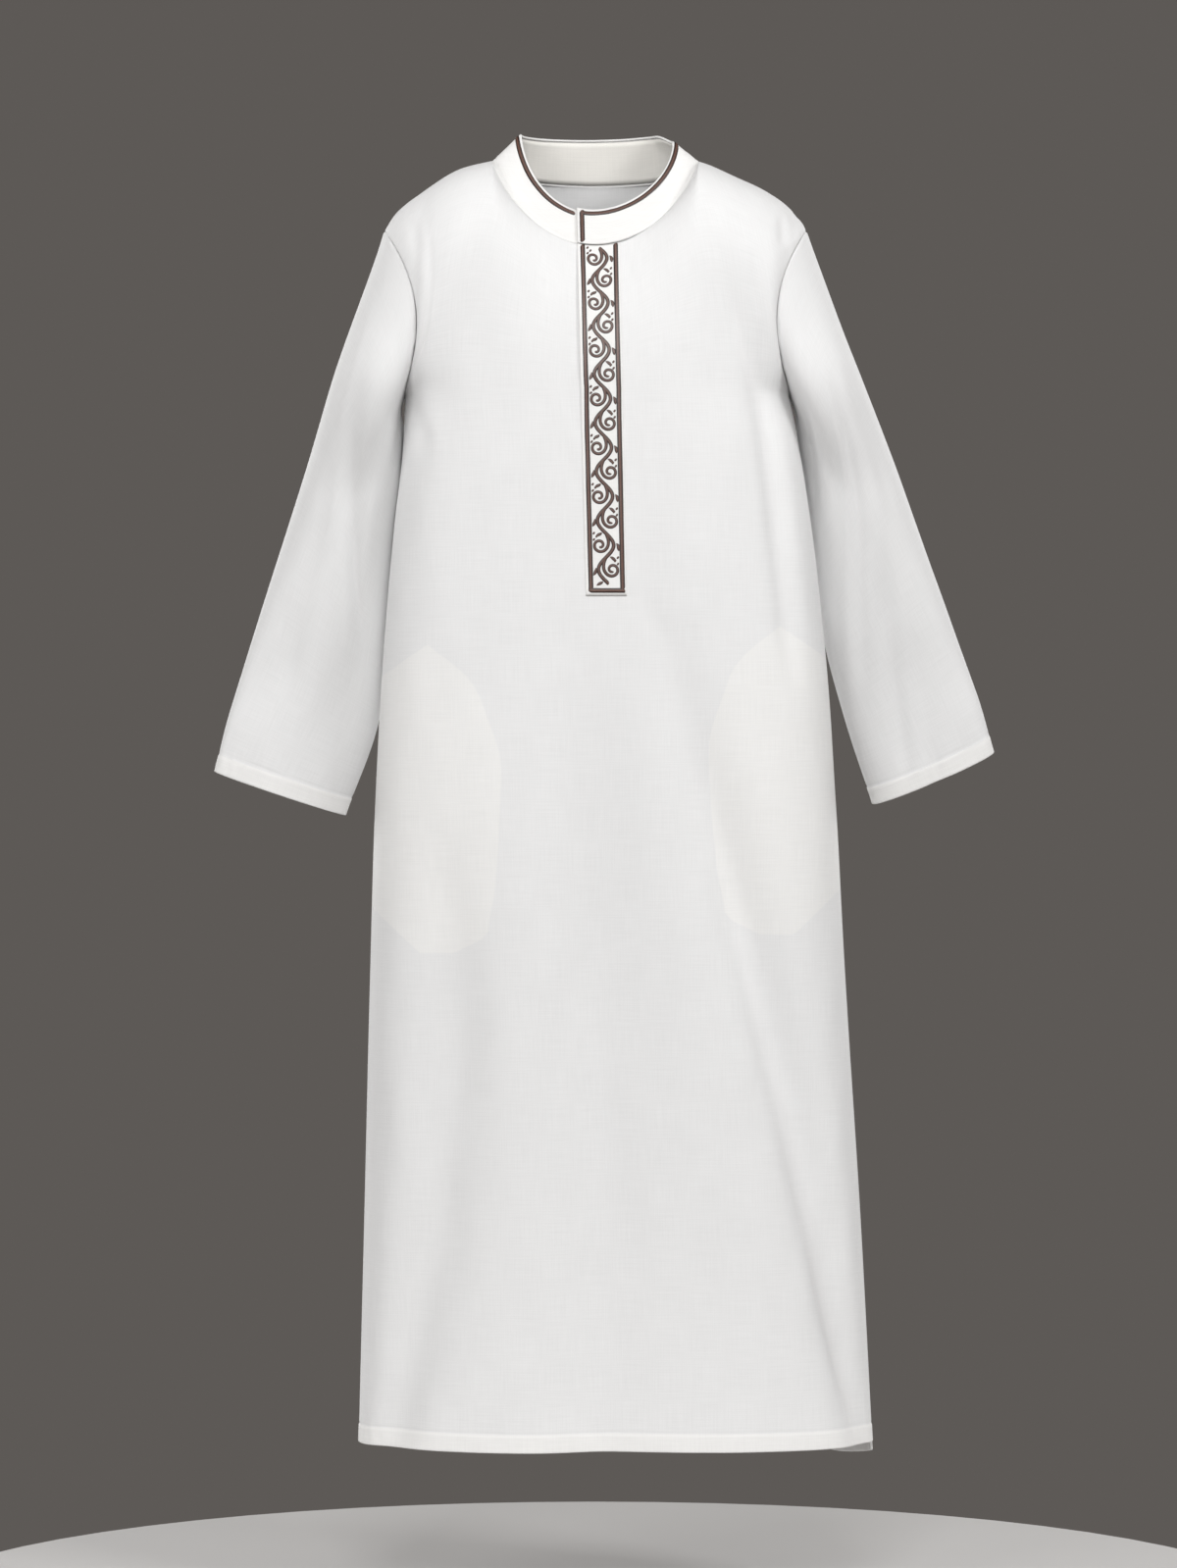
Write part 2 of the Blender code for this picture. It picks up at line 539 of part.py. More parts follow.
def make_placket(white, brown):
    foot_up = up_at(PLACKET_DROP)
    band_ups = [up_at(PLACKET_DROP - EDGE_MARGIN), up_at(PLACKET_DROP - EDGE_MARGIN - EDGING_WIDTH)]
    up = np.concatenate([[foot_up], band_ups, np.linspace(band_ups[1], 1, 5)[1:], 1 + YOKE_LEVELS[1:]])
    drop = -panel(0.0, up, -1)[:, 2]
    t = (drop - drop[-1]) / (drop[0] - drop[-1])
    left = PLACKET_TOP_LEFT + (PLACKET_FOOT_LEFT - PLACKET_TOP_LEFT) * t
    right = PLACKET_TOP_RIGHT + (PLACKET_FOOT_RIGHT - PLACKET_TOP_RIGHT) * t
    inner_left, inner_right = left + EDGE_MARGIN, right - EDGE_MARGIN / 2
    lines = [left, inner_left, inner_left + EDGING_WIDTH, (left + right) / 2]
    lines += [inner_right - EDGING_WIDTH, inner_right, right]
    columns = [panel(across_at(x, up, -1), up, -1) for x in lines]
    grid = np.stack(columns, 1)
    strip = moved_out(grid, LAY + CLOTH)
    wall("placket_strip", strip, CLOTH, white, from_axis)
    edging = moved_out(grid, LAY + CLOTH + SEAM + SATIN)
    keep = np.zeros((len(up) - 1, len(lines) - 1), bool)
    keep[1:, 1] = True
    keep[1:, 4] = True
    keep[1, 1:5] = True
    wall("placket_edging", edging, SATIN, brown, from_axis, keep=keep)

    slit = panel(0.0, up, -1)[:, 0]
    sides = [slit - UNDERLAP_HALF, slit, slit + UNDERLAP_HALF]
    under = np.stack([panel(across_at(x, up, -1), up, -1) for x in sides], 1)
    wall("placket_underlap", moved_out(under, -CLOTH - LAY), CLOTH, white, from_axis)


# ---- Pocket bags


def make_bags(front, white):
    drops = column(BAG, BAG_COLUMNS, "drop")
    near, far = column(BAG, BAG_COLUMNS, "near"), column(BAG, BAG_COLUMNS, "far")
    for name, side, lift in BAGS:
        up = up_at(drops - lift)
        edge = section("middle", drops - lift) + side * section("half_width", drops - lift)
        shares = np.linspace(0, 1, 7)
        reach = near[:, None] + (far - near)[:, None] * shares[None, :]
        x = edge[:, None] - side * reach
        across = np.stack([across_at(x[:, i], up, -1) for i in range(len(shares))], 1)
        row_at = np.interp(up, SKIRT_LEVELS, np.arange(SKIRT_ROWS + 1))
        grid = read_grid(front, row_at[:, None] + 0 * across, (across + 1) * HALF_COLUMNS)
        space = BAG_SEAT + (BAG_LAY - BAG_SEAT) * ease(3 * shares)
        wall(name, moved_out(grid, -CLOTH - space[None, :, None]), THIN_CLOTH, white, from_axis)


for old in list(bpy.data.objects):
    bpy.data.objects.remove(old, do_unlink=True)
COLLECTION = bpy.data.collections.new("thobe_robe")
bpy.context.scene.collection.children.link(COLLECTION)
white_cloth = material("white_cloth", WHITE)
cream_cloth = material("cream_cloth", CREAM)
brown_thread = material("brown_thread", BROWN)
front_grid = make_body(white_cloth)
make_sleeves(white_cloth)
make_collar(white_cloth, cream_cloth, brown_thread)
make_placket(white_cloth, brown_thread)
make_bags(front_grid, white_cloth)
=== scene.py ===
"""Thobe robe: the cloth, stitching and embroidery of a white robe with a lapped band collar.

Metres, +Z up, the front faces -Y and the wearer's left is +X; the origin is at the neck. Every piece of
cloth is a surface worked out from the sections of the solid it stands for, on a finer grid and with a
smoother chest beside the armholes. Creases, seams, hems and stitches are added along its normals.
"""

import math

import bmesh
import bpy
import numpy as np
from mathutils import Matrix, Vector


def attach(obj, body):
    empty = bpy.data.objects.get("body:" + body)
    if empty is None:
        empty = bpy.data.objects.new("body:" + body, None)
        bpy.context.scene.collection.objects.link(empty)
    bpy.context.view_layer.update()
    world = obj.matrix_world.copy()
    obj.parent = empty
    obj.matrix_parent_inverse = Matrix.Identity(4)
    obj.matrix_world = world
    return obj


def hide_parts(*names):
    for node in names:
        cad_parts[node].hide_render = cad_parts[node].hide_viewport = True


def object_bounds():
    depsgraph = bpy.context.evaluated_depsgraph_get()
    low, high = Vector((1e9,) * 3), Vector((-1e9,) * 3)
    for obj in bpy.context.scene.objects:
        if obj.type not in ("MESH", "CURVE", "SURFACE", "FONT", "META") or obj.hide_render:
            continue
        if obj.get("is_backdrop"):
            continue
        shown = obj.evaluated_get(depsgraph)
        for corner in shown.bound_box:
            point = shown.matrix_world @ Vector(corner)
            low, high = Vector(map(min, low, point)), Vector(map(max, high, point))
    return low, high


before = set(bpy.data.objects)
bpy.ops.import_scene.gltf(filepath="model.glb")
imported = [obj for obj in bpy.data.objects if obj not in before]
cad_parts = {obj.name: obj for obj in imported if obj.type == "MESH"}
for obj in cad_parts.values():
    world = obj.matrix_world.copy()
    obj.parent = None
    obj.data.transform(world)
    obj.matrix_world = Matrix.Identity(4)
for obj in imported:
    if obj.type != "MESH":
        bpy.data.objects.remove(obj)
CAD_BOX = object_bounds()

# ---- Cloth
SEAM = 0.0003  # gap between two pieces sewn together
SHOULDER_EASE = 0.0002
LAY = 0.0005  # gap between a piece and what it lies on
SLEEVE_CLEAR = 0.0022  # gap between a sleeve and the body's side
CLOTH_WALL, BAG_WALL = 0.0009, 0.0008  # wall of one layer of cloth
HEM_WIDTH, CUFF_HEM = 0.0200, 0.0210  # turned-up hems of the skirt and of the sleeves
HEM_ROLL = 0.0010  # radius of a hem's edge
SEAM_DIP, SEAM_REACH = 0.0006, 0.0022  # how deep and how wide the cloth rolls in at a seam
ARMPIT_REACH = 0.020
SLEEVE_FULLER = 0.0055  # how far the outer side of a sleeve fills out past its solid
INNER_TURN, INNER_WIDTH, INNER_FULLER = 138.0, 24.0, 0.0045  # a sleeve is squarer round this turn
SHOULDER_TILT = 0.0032  # how far the right shoulder is carried up and the left one down
TILT_AT, TILT_WIDTH, TILT_FALL = 0.152, 0.026, 0.09  # from the middle, reach sideways and down

# ---- Body
HEM_DROP = 1.395  # neck point down to the hem
ARMPIT_DROP = 0.255
SKIRT = HEM_DROP - ARMPIT_DROP
# A row for each section, front face first: drop below the neck point, middle, half width, depths.
# The last two shape the section, depth * (1 - |x / half|^power)^fullness: 2 and 0.5 would make an ellipse.
# The first row of each table names its columns.
SECTIONS = (
    ("drop", "middle", "half_width", "front_depth", "back_depth", "power", "fullness"),
    (0.255, 0.0020, 0.2100, 0.110, 0.098, 3.0, 0.58),
    (0.300, 0.0055, 0.2145, 0.111, 0.097, 3.0, 0.48),
    (0.400, 0.0080, 0.2275, 0.112, 0.096, 2.9, 0.40),
    (0.550, 0.0100, 0.2420, 0.113, 0.097, 2.7, 0.37),
    (0.700, 0.0110, 0.2510, 0.115, 0.102, 2.6, 0.38),
    (0.900, 0.0135, 0.2595, 0.118, 0.108, 2.5, 0.40),
    (1.150, 0.0185, 0.2705, 0.121, 0.115, 2.4, 0.41),
    (1.395, 0.0220, 0.2800, 0.124, 0.120, 2.4, 0.42),
)
CHEST_POWER = 1.5  # how late the fullness grows to 1 above the armpits
ARMHOLE_POWERS = (8.0, 3.0)  # how close to the armhole its bulge stays, from the armpit up
SHOULDER_POWER = 2.5  # roll of the cloth over the shoulder line
TOP_EASE = 0.30  # how far to each side the rows below the top line average it
BACK_HEM_DIP = 0.018  # how much lower the back hem hangs, towards the wearer's left
HEM_DIP_AT, HEM_DIP_WIDTH = 0.75, 0.35  # across values

# ---- Shoulders and armholes
TIP_HALF = 0.230  # middle to the shoulder tip
ARMHOLE_INSET = 0.025  # how far the armhole cuts into the chest
ARMHOLE_FRONT = 0.070
ARMHOLE_BACK = 0.064
# The shoulder line: distance from the middle, drop below the neck point.
SHOULDER = (
    ("out", "drop"),
    (0.112, 0.000),
    (0.126, 0.004),
    (0.150, 0.013),
    (0.170, 0.023),
    (0.190, 0.035),
    (0.207, 0.047),
    (0.220, 0.060),
    (0.230, 0.076),
)
NECK_SHARE = 8 / 18  # the across value where the neck seam meets the shoulder seam

# ---- Neck and collar
NECK_HALF = 0.112
NECK_FRONT, NECK_BACK = 0.072, 0.066  # depth of the neck seam ahead of and behind the shoulders
NECK_DROP_FRONT, NECK_DROP_BACK = 0.098, 0.020
NECK_DIP_FRONT, NECK_DIP_BACK = 1.5, 0.7  # how late the seam dips, as a power
COLLAR_HALF = 0.082
COLLAR_FRONT, COLLAR_BACK = 0.050, 0.056
COLLAR_TOP = 0.031  # the top edge above the neck point, at the sides and back
COLLAR_DROP_FRONT = 0.092  # how far the top edge falls from there to the front
COLLAR_SOFT = 0.12  # how softly that fall begins
COLLAR_LIFT = 0.0009  # the stand starts this far up from the neck seam
LAP_END = -0.0198  # the upper end of the band, and the placket's free edge
UNDER_END = 0.0200  # the lower end, hidden under the lap
UNDER_EDGING = -0.0218  # the lower end's edging starts here, just clear of the lap
LAP_RISE = 0.0034  # how far the upper end stands over the lower one
LAP_FROM, LAP_OVER = 130.0, 40.0  # the turn where it begins to rise, and over how many degrees
COLLAR_ROLL = 0.0012  # radius of the top edge
COLLAR_UNDER = 0.0022  # how far the lower edge reaches past the neck seam, down
BAND_LAY = 0.0007  # how far it lies over the seam
BAND_DIP = 0.0006, 0.0016  # roll of its lower edge, depth and reach
BAND_END_DIP = 0.0007, 0.0018  # roll of its ends
NECK_STITCH = 0.0042  # height of the stitch line above the neck seam
COLLAR_BEND = (
    ("turn", "sideways", "up"),  # how far the top edge is pushed there
    (-220.0, 0.0, 0.0),
    (20.0, 0.0, 0.0),
    (48.0, -0.001, 0.001),
    (66.0, -0.006, 0.0),
    (90.0, 0.002, -0.009),
    (112.0, 0.0035, -0.005),
    (140.0, 0.0, 0.0),
    (230.0, 0.0, 0.0),
)

# ---- Placket
PLACKET_TOP_LEFT, PLACKET_TOP_RIGHT = -0.0198, 0.0258
PLACKET_FOOT_LEFT, PLACKET_FOOT_RIGHT = -0.0104, 0.0334
PLACKET_DROP = 0.4775
SLIT_DROP = 0.4400
SLIT_HALF = 0.0004
UNDERLAP_HALF = 0.0190
EDGE_MARGIN = 0.0030  # cloth left outside the stitched edging
EDGING_WIDTH = 0.0055
EDGING_AT = EDGE_MARGIN + EDGING_WIDTH / 2  # from a cloth edge to the edging's middle
PLACKET_OPEN = 0.0022  # how far its free edge stands off
PLACKET_DIP = 0.0004, 0.0012  # roll of its edges
SEAM_SHARES = 0.018, 0.982  # where the seams along both edges lie, as shares of its width

# ---- Sleeves, each from the shoulder tip: swing out, hang to the cuff, fall of the cuff's inner corner
SLEEVES = (
    ("side", "swing_deg", "hang", "cuff_slant", "cuff_bow"),
    (-1, 17.6, 0.619, 0.002, 0.002),
    (1, 20.2, 0.606, 0.007, 0.005),
)
# Sections down the sleeve: distance from the tip, width and set back of each sleeve, half depth of both.
TUBE = (
    ("down", "width_right", "width_left", "half_depth", "back_right", "back_left"),
    (0.000, 0.062, 0.062, 0.050, 0.000, 0.000),
    (0.080, 0.066, 0.066, 0.066, 0.000, 0.000),
    (0.162, 0.075, 0.077, 0.070, 0.004, 0.004),
    (0.188, 0.081, 0.081, 0.069, 0.014, 0.014),
    (0.211, 0.089, 0.086, 0.067, 0.022, 0.023),
    (0.246, 0.098, 0.092, 0.063, 0.031, 0.033),
    (0.321, 0.112, 0.108, 0.054, 0.041, 0.045),
    (0.428, 0.137, 0.134, 0.038, 0.045, 0.058),
    (0.506, 0.153, 0.141, 0.025, 0.046, 0.068),
    (0.620, 0.150, 0.144, 0.015, 0.046, 0.080),
)

# ---- Pocket bags, hung inside the front from each side seam: drop, near edge, far edge from the seam
BAG = (
    ("drop", "near", "far"),
    (0.529, 0.030, 0.048),
    (0.545, 0.004, 0.072),
    (0.563, 0.003, 0.094),
    (0.611, 0.003, 0.121),
    (0.648, 0.003, 0.135),
    (0.700, 0.003, 0.138),
    (0.760, 0.003, 0.137),
    (0.820, 0.005, 0.131),
    (0.846, 0.022, 0.122),
    (0.861, 0.052, 0.090),
)
BAG_LIFTS = ((-1, 0.000), (1, 0.020))  # side, lift

# ---- Folds. A positive depth is a trough and a negative one a ridge. A body fold runs between two drops,
# past the across values high, mid and low, a sleeve's between two distances down, from angle to angle.
HALF_ARC = 0.62  # length of cloth to an across value of 1, as a share of half width plus depth
FOLD_CLEAR = 0.12  # the folds fade this far before the side seams, in across values
BODY_FOLDS = (
    ("face", "top", "bottom", "high", "mid", "low", "depth", "width_top", "width_bottom"),
    (-1, 0.470, 1.700, 0.020, 0.030, 0.040, 0.014, 0.022, 0.050),
    (-1, 0.370, 1.500, 0.090, 0.490, 0.900, 0.015, 0.018, 0.034),
    (-1, 0.680, 1.520, -0.450, -0.480, -0.800, 0.013, 0.026, 0.034),
    (-1, 0.560, 1.700, -0.250, -0.240, -0.250, -0.005, 0.030, 0.050),
    (-1, 0.015, 0.620, 0.700, 0.630, 0.640, 0.006, 0.012, 0.014),
    (-1, 0.020, 0.240, -0.800, -0.880, -0.900, 0.004, 0.011, 0.012),
    (1, 0.180, 1.700, -0.300, -0.230, -0.270, 0.014, 0.022, 0.042),
    (1, 0.260, 1.700, 0.260, 0.330, 0.420, 0.015, 0.020, 0.040),
    (1, 0.600, 1.600, -0.620, -0.640, -0.760, 0.012, 0.024, 0.034),
    (1, 0.560, 1.700, 0.020, 0.050, 0.080, -0.006, 0.030, 0.046),
    (1, 0.700, 1.600, 0.660, 0.700, 0.800, 0.012, 0.024, 0.032),
)
SHARPER_FOLDS = (  # the finer middles of the long folds
    BODY_FOLDS[0],
    (-1, 0.500, 1.640, -0.025, -0.040, -0.030, 0.0110, 0.017, 0.025),
    (-1, 0.450, 1.480, 0.130, 0.500, 0.900, 0.0070, 0.015, 0.021),
    (-1, 0.680, 1.520, -0.480, -0.540, -0.830, 0.0050, 0.018, 0.023),
    (1, 0.300, 1.640, -0.300, -0.230, -0.270, 0.0060, 0.018, 0.030),
    (1, 0.400, 1.640, 0.260, 0.330, 0.420, 0.0070, 0.018, 0.030),
    (1, 0.720, 1.560, -0.620, -0.640, -0.760, 0.0045, 0.018, 0.026),
)
TUBE_FOLDS = (
    ("side", "top", "bottom", "high", "low", "depth", "width"),
    (-1, 0.070, 0.480, 36.0, 142.0, 0.008, 0.013),
    (-1, 0.400, 0.700, 60.0, 70.0, 0.004, 0.016),
    (-1, 0.100, 0.520, 300.0, 235.0, 0.009, 0.014),
    (1, 0.060, 0.330, 120.0, 150.0, 0.006, 0.012),
    (1, 0.340, 0.640, 72.0, 118.0, 0.006, 0.013),
    (1, 0.120, 0.560, 305.0, 230.0, 0.009, 0.014),
)
TUBE_CREASES = (
    ("side", "high", "low", "top", "bottom", "depth", "width"),
    (-1, 60.0, 66.0, 0.16, 0.56, 0.0015, 0.012),
    (-1, 100.0, 112.0, 0.10, 0.30, 0.0016, 0.009),
    (-1, 24.0, 40.0, 0.05, 0.22, 0.0012, 0.010),
    (-1, 48.0, 30.0, 0.44, 0.64, 0.0011, 0.013),
    (-1, 125.0, 96.0, 0.30, 0.52, 0.0009, 0.011),
    (-1, 250.0, 230.0, 0.12, 0.46, 0.0022, 0.012),
    (1, 62.0, 128.0, 0.10, 0.42, 0.0036, 0.011),
    (1, 70.0, 96.0, 0.40, 0.64, 0.0020, 0.012),
    (1, 40.0, 52.0, 0.12, 0.34, 0.0012, 0.012),
    (1, 120.0, 108.0, 0.52, 0.64, 0.0014, 0.009),
    (1, 255.0, 225.0, 0.10, 0.42, 0.0022, 0.012),
)

# ---- Smaller creases, as seen square on from in front: three points down each (sideways, drop), depth of
# the trough, width, and how high a lip of cloth stands beside it on the wearer's left, as a share.
VIEW_FROM = 6.0  # how far in front they are seen from
CREASE_COLUMNS = ("x0", "d0", "x1", "d1", "x2", "d2", "depth", "width", "lip")
FRONT_CREASES = (
    CREASE_COLUMNS,
    (-0.199, 0.057, -0.196, 0.112, -0.196, 0.182, 0.0016, 0.007, 0.6),  # along the right armhole
    (0.203, 0.061, 0.206, 0.080, 0.203, 0.104, 0.0024, 0.006, 0.6),  # two short ones at the left armhole
    (0.218, 0.050, 0.217, 0.072, 0.213, 0.100, 0.0020, 0.005, 0.4),
    (0.172, 0.072, 0.175, 0.176, 0.178, 0.284, 0.0022, 0.011, 0.5),  # a long one inside the left armhole
    (0.180, 0.273, 0.194, 0.358, 0.211, 0.487, 0.0020, 0.012, 0.4),
    (-0.166, 0.043, -0.172, 0.102, -0.178, 0.176, 0.0012, 0.012, 0.4),
    (-0.033, 0.243, -0.025, 0.284, -0.018, 0.324, 0.0009, 0.006, 0.5),  # beside the placket
    (-0.037, 0.310, -0.027, 0.348, -0.016, 0.382, 0.0008, 0.006, 0.5),
    (-0.026, 0.176, -0.020, 0.200, -0.016, 0.230, 0.0006, 0.005, 0.5),
    (0.035, 0.104, 0.048, 0.144, 0.044, 0.193, 0.0008, 0.007, 0.4),
    (0.036, 0.273, 0.048, 0.326, 0.042, 0.401, 0.0007, 0.008, 0.4),
    (0.035, 0.472, 0.065, 0.508, 0.089, 0.562, 0.0010, 0.012, 0.3),  # below its foot
    (-0.010, 0.478, -0.029, 0.519, -0.037, 0.573, 0.0008, 0.012, 0.3),
    (-0.118, 0.003, -0.116, 0.014, -0.110, 0.029, 0.0009, 0.004, 0.4),  # at the neck seam
    (-0.202, 0.252, -0.192, 0.284, -0.183, 0.337, 0.0016, 0.008, 0.4),  # under the arms
    (0.213, 0.193, 0.206, 0.230, 0.205, 0.294, 0.0014, 0.008, 0.4),
)
BACK_CREASES = (
    CREASE_COLUMNS,
    (-0.196, 0.080, -0.190, 0.140, -0.192, 0.220, 0.0018, 0.009, 0.5),
    (0.200, 0.070, 0.192, 0.150, 0.196, 0.230, 0.0016, 0.008, 0.5),
    (-0.150, 0.200, -0.120, 0.290, -0.140, 0.420, 0.0014, 0.014, 0.4),
    (0.140, 0.220, 0.125, 0.320, 0.150, 0.460, 0.0014, 0.014, 0.4),
    (-0.090, 0.030, -0.070, 0.060, -0.030, 0.085, 0.0008, 0.009, 0.4),
    (0.085, 0.030, 0.060, 0.065, 0.020, 0.090, 0.0008, 0.009, 0.4),
    (-0.205, 0.270, -0.190, 0.330, -0.180, 0.400, 0.0014, 0.010, 0.4),
)
BAND_CREASES = (
    CREASE_COLUMNS,
    (0.008, 0.066, 0.019, 0.072, 0.036, 0.064, 0.0012, 0.005, 0.3),  # a dimple in the lap
    (-0.088, 0.006, -0.070, 0.040, -0.040, 0.062, 0.0009, 0.007, 0.5),
    (0.040, 0.075, 0.066, 0.052, 0.088, 0.018, 0.0007, 0.008, 0.3),
)


def column(table, name):
    """One named column of a table."""
    names, *rows = table
    return np.array([row[names.index(name)] for row in rows], float)


def rows_of(table, name=None, value=None):
    """The rows of a table as dictionaries: all of them, or those whose named column holds this value."""
    names, *rows = table
    named = [dict(zip(names, row)) for row in rows]
    return [row for row in named if name is None or row[name] == value]


def smooth(x, xs, ys):
    """A table read at x, along the cubic curve through its rows."""
    x = np.clip(x, xs[0], xs[-1])
    slopes = np.gradient(ys, xs)
    i = np.clip(np.searchsorted(xs, x, side="right") - 1, 0, len(xs) - 2)
    run = xs[i + 1] - xs[i]
    t = (x - xs[i]) / run
    start = (1 + 2 * t) * (1 - t) ** 2 * ys[i] + t * (1 - t) ** 2 * run * slopes[i]
    return start + t * t * (3 - 2 * t) * ys[i + 1] + t * t * (t - 1) * run * slopes[i + 1]


def read_table(table, name, at):
    """A named column of a table, read where its first column has this value."""
    return smooth(at, column(table, table[0][0]), column(table, name))


def ease(x):
    """0 below 0, 1 above 1, with a soft start and end."""
    x = np.clip(x, 0, 1)
    return x * x * (3 - 2 * x)


def faded(t, start=0.3, end=0.3):
    """1 along a run from 0 to 1, easing to 0 over the shares start and end of it."""
    return ease(t / start) * ease((1 - t) / end)


def share_down(fold, down):
    """How far down a fold a place lies, 0 at its top and 1 at its bottom."""
    return np.clip((down - fold["top"]) / (fold["bottom"] - fold["top"]), 0, 1)


def unit(vectors):
    """The vectors at a length of 1."""
    return vectors / np.maximum(np.linalg.norm(vectors, axis=-1, keepdims=True), 1e-12)


def place_in(values, at):
    """Where numbers lie in a row of rising values: 2.5 is halfway from the third value to the fourth."""
    return np.interp(at, values, np.arange(len(values)))


def read_path(at, along, values):
    """Points or vectors along a path, read at distances from its start."""
    return np.stack([np.interp(at, along, values[:, k]) for k in range(3)], -1)


def section(name, drop):
    return read_table(SECTIONS, name, drop)


def shoulder_drop(out):
    return read_table(SHOULDER, "drop", out)


# ---- Body panels


def round_neck(turn_deg):
    """How far a turn points to the wearer's left, back and front. Turns run from the middle of the back:
    90 is over the left shoulder and 180 the front."""
    turn = np.radians(turn_deg)
    return np.sin(turn), np.maximum(np.cos(turn), 0), np.maximum(-np.cos(turn), 0)


def neck_seam(turn_deg):
    """The seam of the collar at a turn: an ellipse that drops with a power of the cosine, front and back."""
    left, back, front = round_neck(turn_deg)
    y = NECK_BACK * back - NECK_FRONT * front
    z = -NECK_DROP_BACK * back**NECK_DIP_BACK - NECK_DROP_FRONT * front**NECK_DIP_FRONT
    return np.stack([NECK_HALF * left, y, z], -1)


def top_line(across, face):
    """The top edge of a panel: the neck seam in the middle, then the shoulder line out to the tip."""
    share = np.abs(across)
    quarter = 90 * np.minimum(share / NECK_SHARE, 1)
    neck = neck_seam(180 - quarter if face < 0 else quarter)
    out = NECK_HALF + (TIP_HALF - NECK_HALF) * np.clip((share - NECK_SHARE) / (1 - NECK_SHARE), 0, 1)
    on_shoulder = share > NECK_SHARE - 1e-6
    x = np.where(on_shoulder, out, neck[..., 0]) * np.sign(across)
    y = np.where(on_shoulder, face * SHOULDER_EASE, neck[..., 1])
    z = np.where(on_shoulder, -shoulder_drop(out), neck[..., 2])
    return x, y, z


def eased_top_line(across, face):
    """The top line averaged a little to each side, without its corner where the shoulder meets the neck."""
    reach = TOP_EASE * (1 - np.abs(across)) * ease(np.abs(across) / TOP_EASE)
    return np.mean([top_line(across + reach * share, face) for share in np.linspace(-1, 1, 9)], axis=0)


def armhole_half(rise):
    """Half the width between the armholes, from the armpit (0) to the shoulder tip (1)."""
    bend = np.clip(4 * rise * (1 - rise), 0, None)
    return section("half_width", ARMPIT_DROP) * (1 - rise) + TIP_HALF * rise - ARMHOLE_INSET * bend**1.1


def body_fold(across, drop, face, folds=BODY_FOLDS):
    """How far the cloth is drawn in: each fold is a soft trough, depth * exp(-(gap / width)^2), whose middle
    follows the parabola through its three across values."""
    total = np.zeros(np.broadcast(across, drop).shape)
    arc = HALF_ARC * (section("half_width", drop) + section("front_depth", drop))
    for fold in rows_of(folds, "face", face):
        t = share_down(fold, drop)
        path = fold["high"] * (1 - t) * (1 - 2 * t) + fold["low"] * t * (2 * t - 1)
        path = path + 4 * fold["mid"] * t * (1 - t)
        width = (fold["width_top"] + (fold["width_bottom"] - fold["width_top"]) * t) / arc
        total = total + fold["depth"] * faded(t, 0.4, 0.2) * np.exp(-(((across - path) / width) ** 2))
    return total * ease((1 - np.abs(across)) / FOLD_CLEAR)


def panel(across, up, face):
    """Points of the front (face -1) or back (1). across runs -1..1 between the side seams; up runs 0..1 from
    the hem to the armpits and 1..2 from there to the shoulders and neck. Below the armpits a section is
    y = depth * (1 - |x/half|^power)^fullness; above, it opens at the armhole and rolls in to the top line."""
    across, up = np.broadcast_arrays(np.asarray(across, float), np.asarray(up, float))
    low_drop = HEM_DROP + (ARMPIT_DROP - HEM_DROP) * np.minimum(up, 1)
    rise = (1 - np.cos(np.pi * np.clip(up - 1, 0, 1))) / 2
    loop = np.sin(np.pi * np.clip(up - 1, 0, 1))
    eased = np.array(eased_top_line(across, face))
    top_x, top_y, top_z = eased + (np.array(top_line(across, face)) - eased) * rise**4

    half = np.where(up < 1, section("half_width", low_drop), armhole_half(rise))
    share = np.sin(np.pi / 2 * across) * (1 - rise) + top_x / TIP_HALF * rise
    x = section("middle", low_drop) * (1 - rise) + half * share

    fullness = section("fullness", low_drop)
    fullness = fullness + (1 - fullness) * rise**CHEST_POWER
    fall = (1 - np.abs(np.clip(share, -1, 1)) ** section("power", low_drop)) ** fullness
    over_shoulder = (1 - rise**SHOULDER_POWER) ** (1 / SHOULDER_POWER)
    into_neck = 1 - rise**2
    rolled = into_neck + (over_shoulder - into_neck) * ease(np.abs(across) / NECK_SHARE)
    depth = section("front_depth" if face < 0 else "back_depth", low_drop)
    armhole = ARMHOLE_FRONT if face < 0 else ARMHOLE_BACK
    low_power, high_power = ARMHOLE_POWERS
    near_armhole = np.abs(share) ** (low_power + (high_power - low_power) * ease(rise / 0.8))
    y = top_y * (1 - rolled) + face * (depth * fall * rolled + armhole * loop * near_armhole + SEAM / 2)

    z = -low_drop + (top_z + ARMPIT_DROP) * rise
    if face > 0:
        off = (across - HEM_DIP_AT) / HEM_DIP_WIDTH
        z = z - BACK_HEM_DIP * (1 - np.minimum(up, 1)) ** 3 * np.exp(-(off**2))
    drawn = body_fold(across, -z, face)
    x = x - drawn * np.sin(np.pi / 2 * across)
    y = y - face * drawn * np.cos(np.pi / 2 * across)
    return np.stack([x, y, z], -1)


def up_at(drop):
    """The panels' up value at a drop below the armpits."""
    return (HEM_DROP - drop) / SKIRT


def up_at_rise(rise):
    """The panels' up value where they have risen this share of the way from the armpits to the top line."""
    return 1 + np.arccos(1 - 2 * rise) / np.pi


def on_front(body, x, up):
    """The front's points and normals where its rows at these up values reach x."""
    front, out, (ups, acrosses) = body[-1]
    steps = np.linspace(-1, 1, 401)
    reached = [panel(steps, level, -1)[:, 0] for level in up]
    col = place_in(acrosses, np.array([np.interp(at, row, steps) for at, row in zip(x, reached)]))
    row = place_in(ups, up)[:, None] + 0 * col
    return read_grid(front, row, col), read_grid(out, row, col)


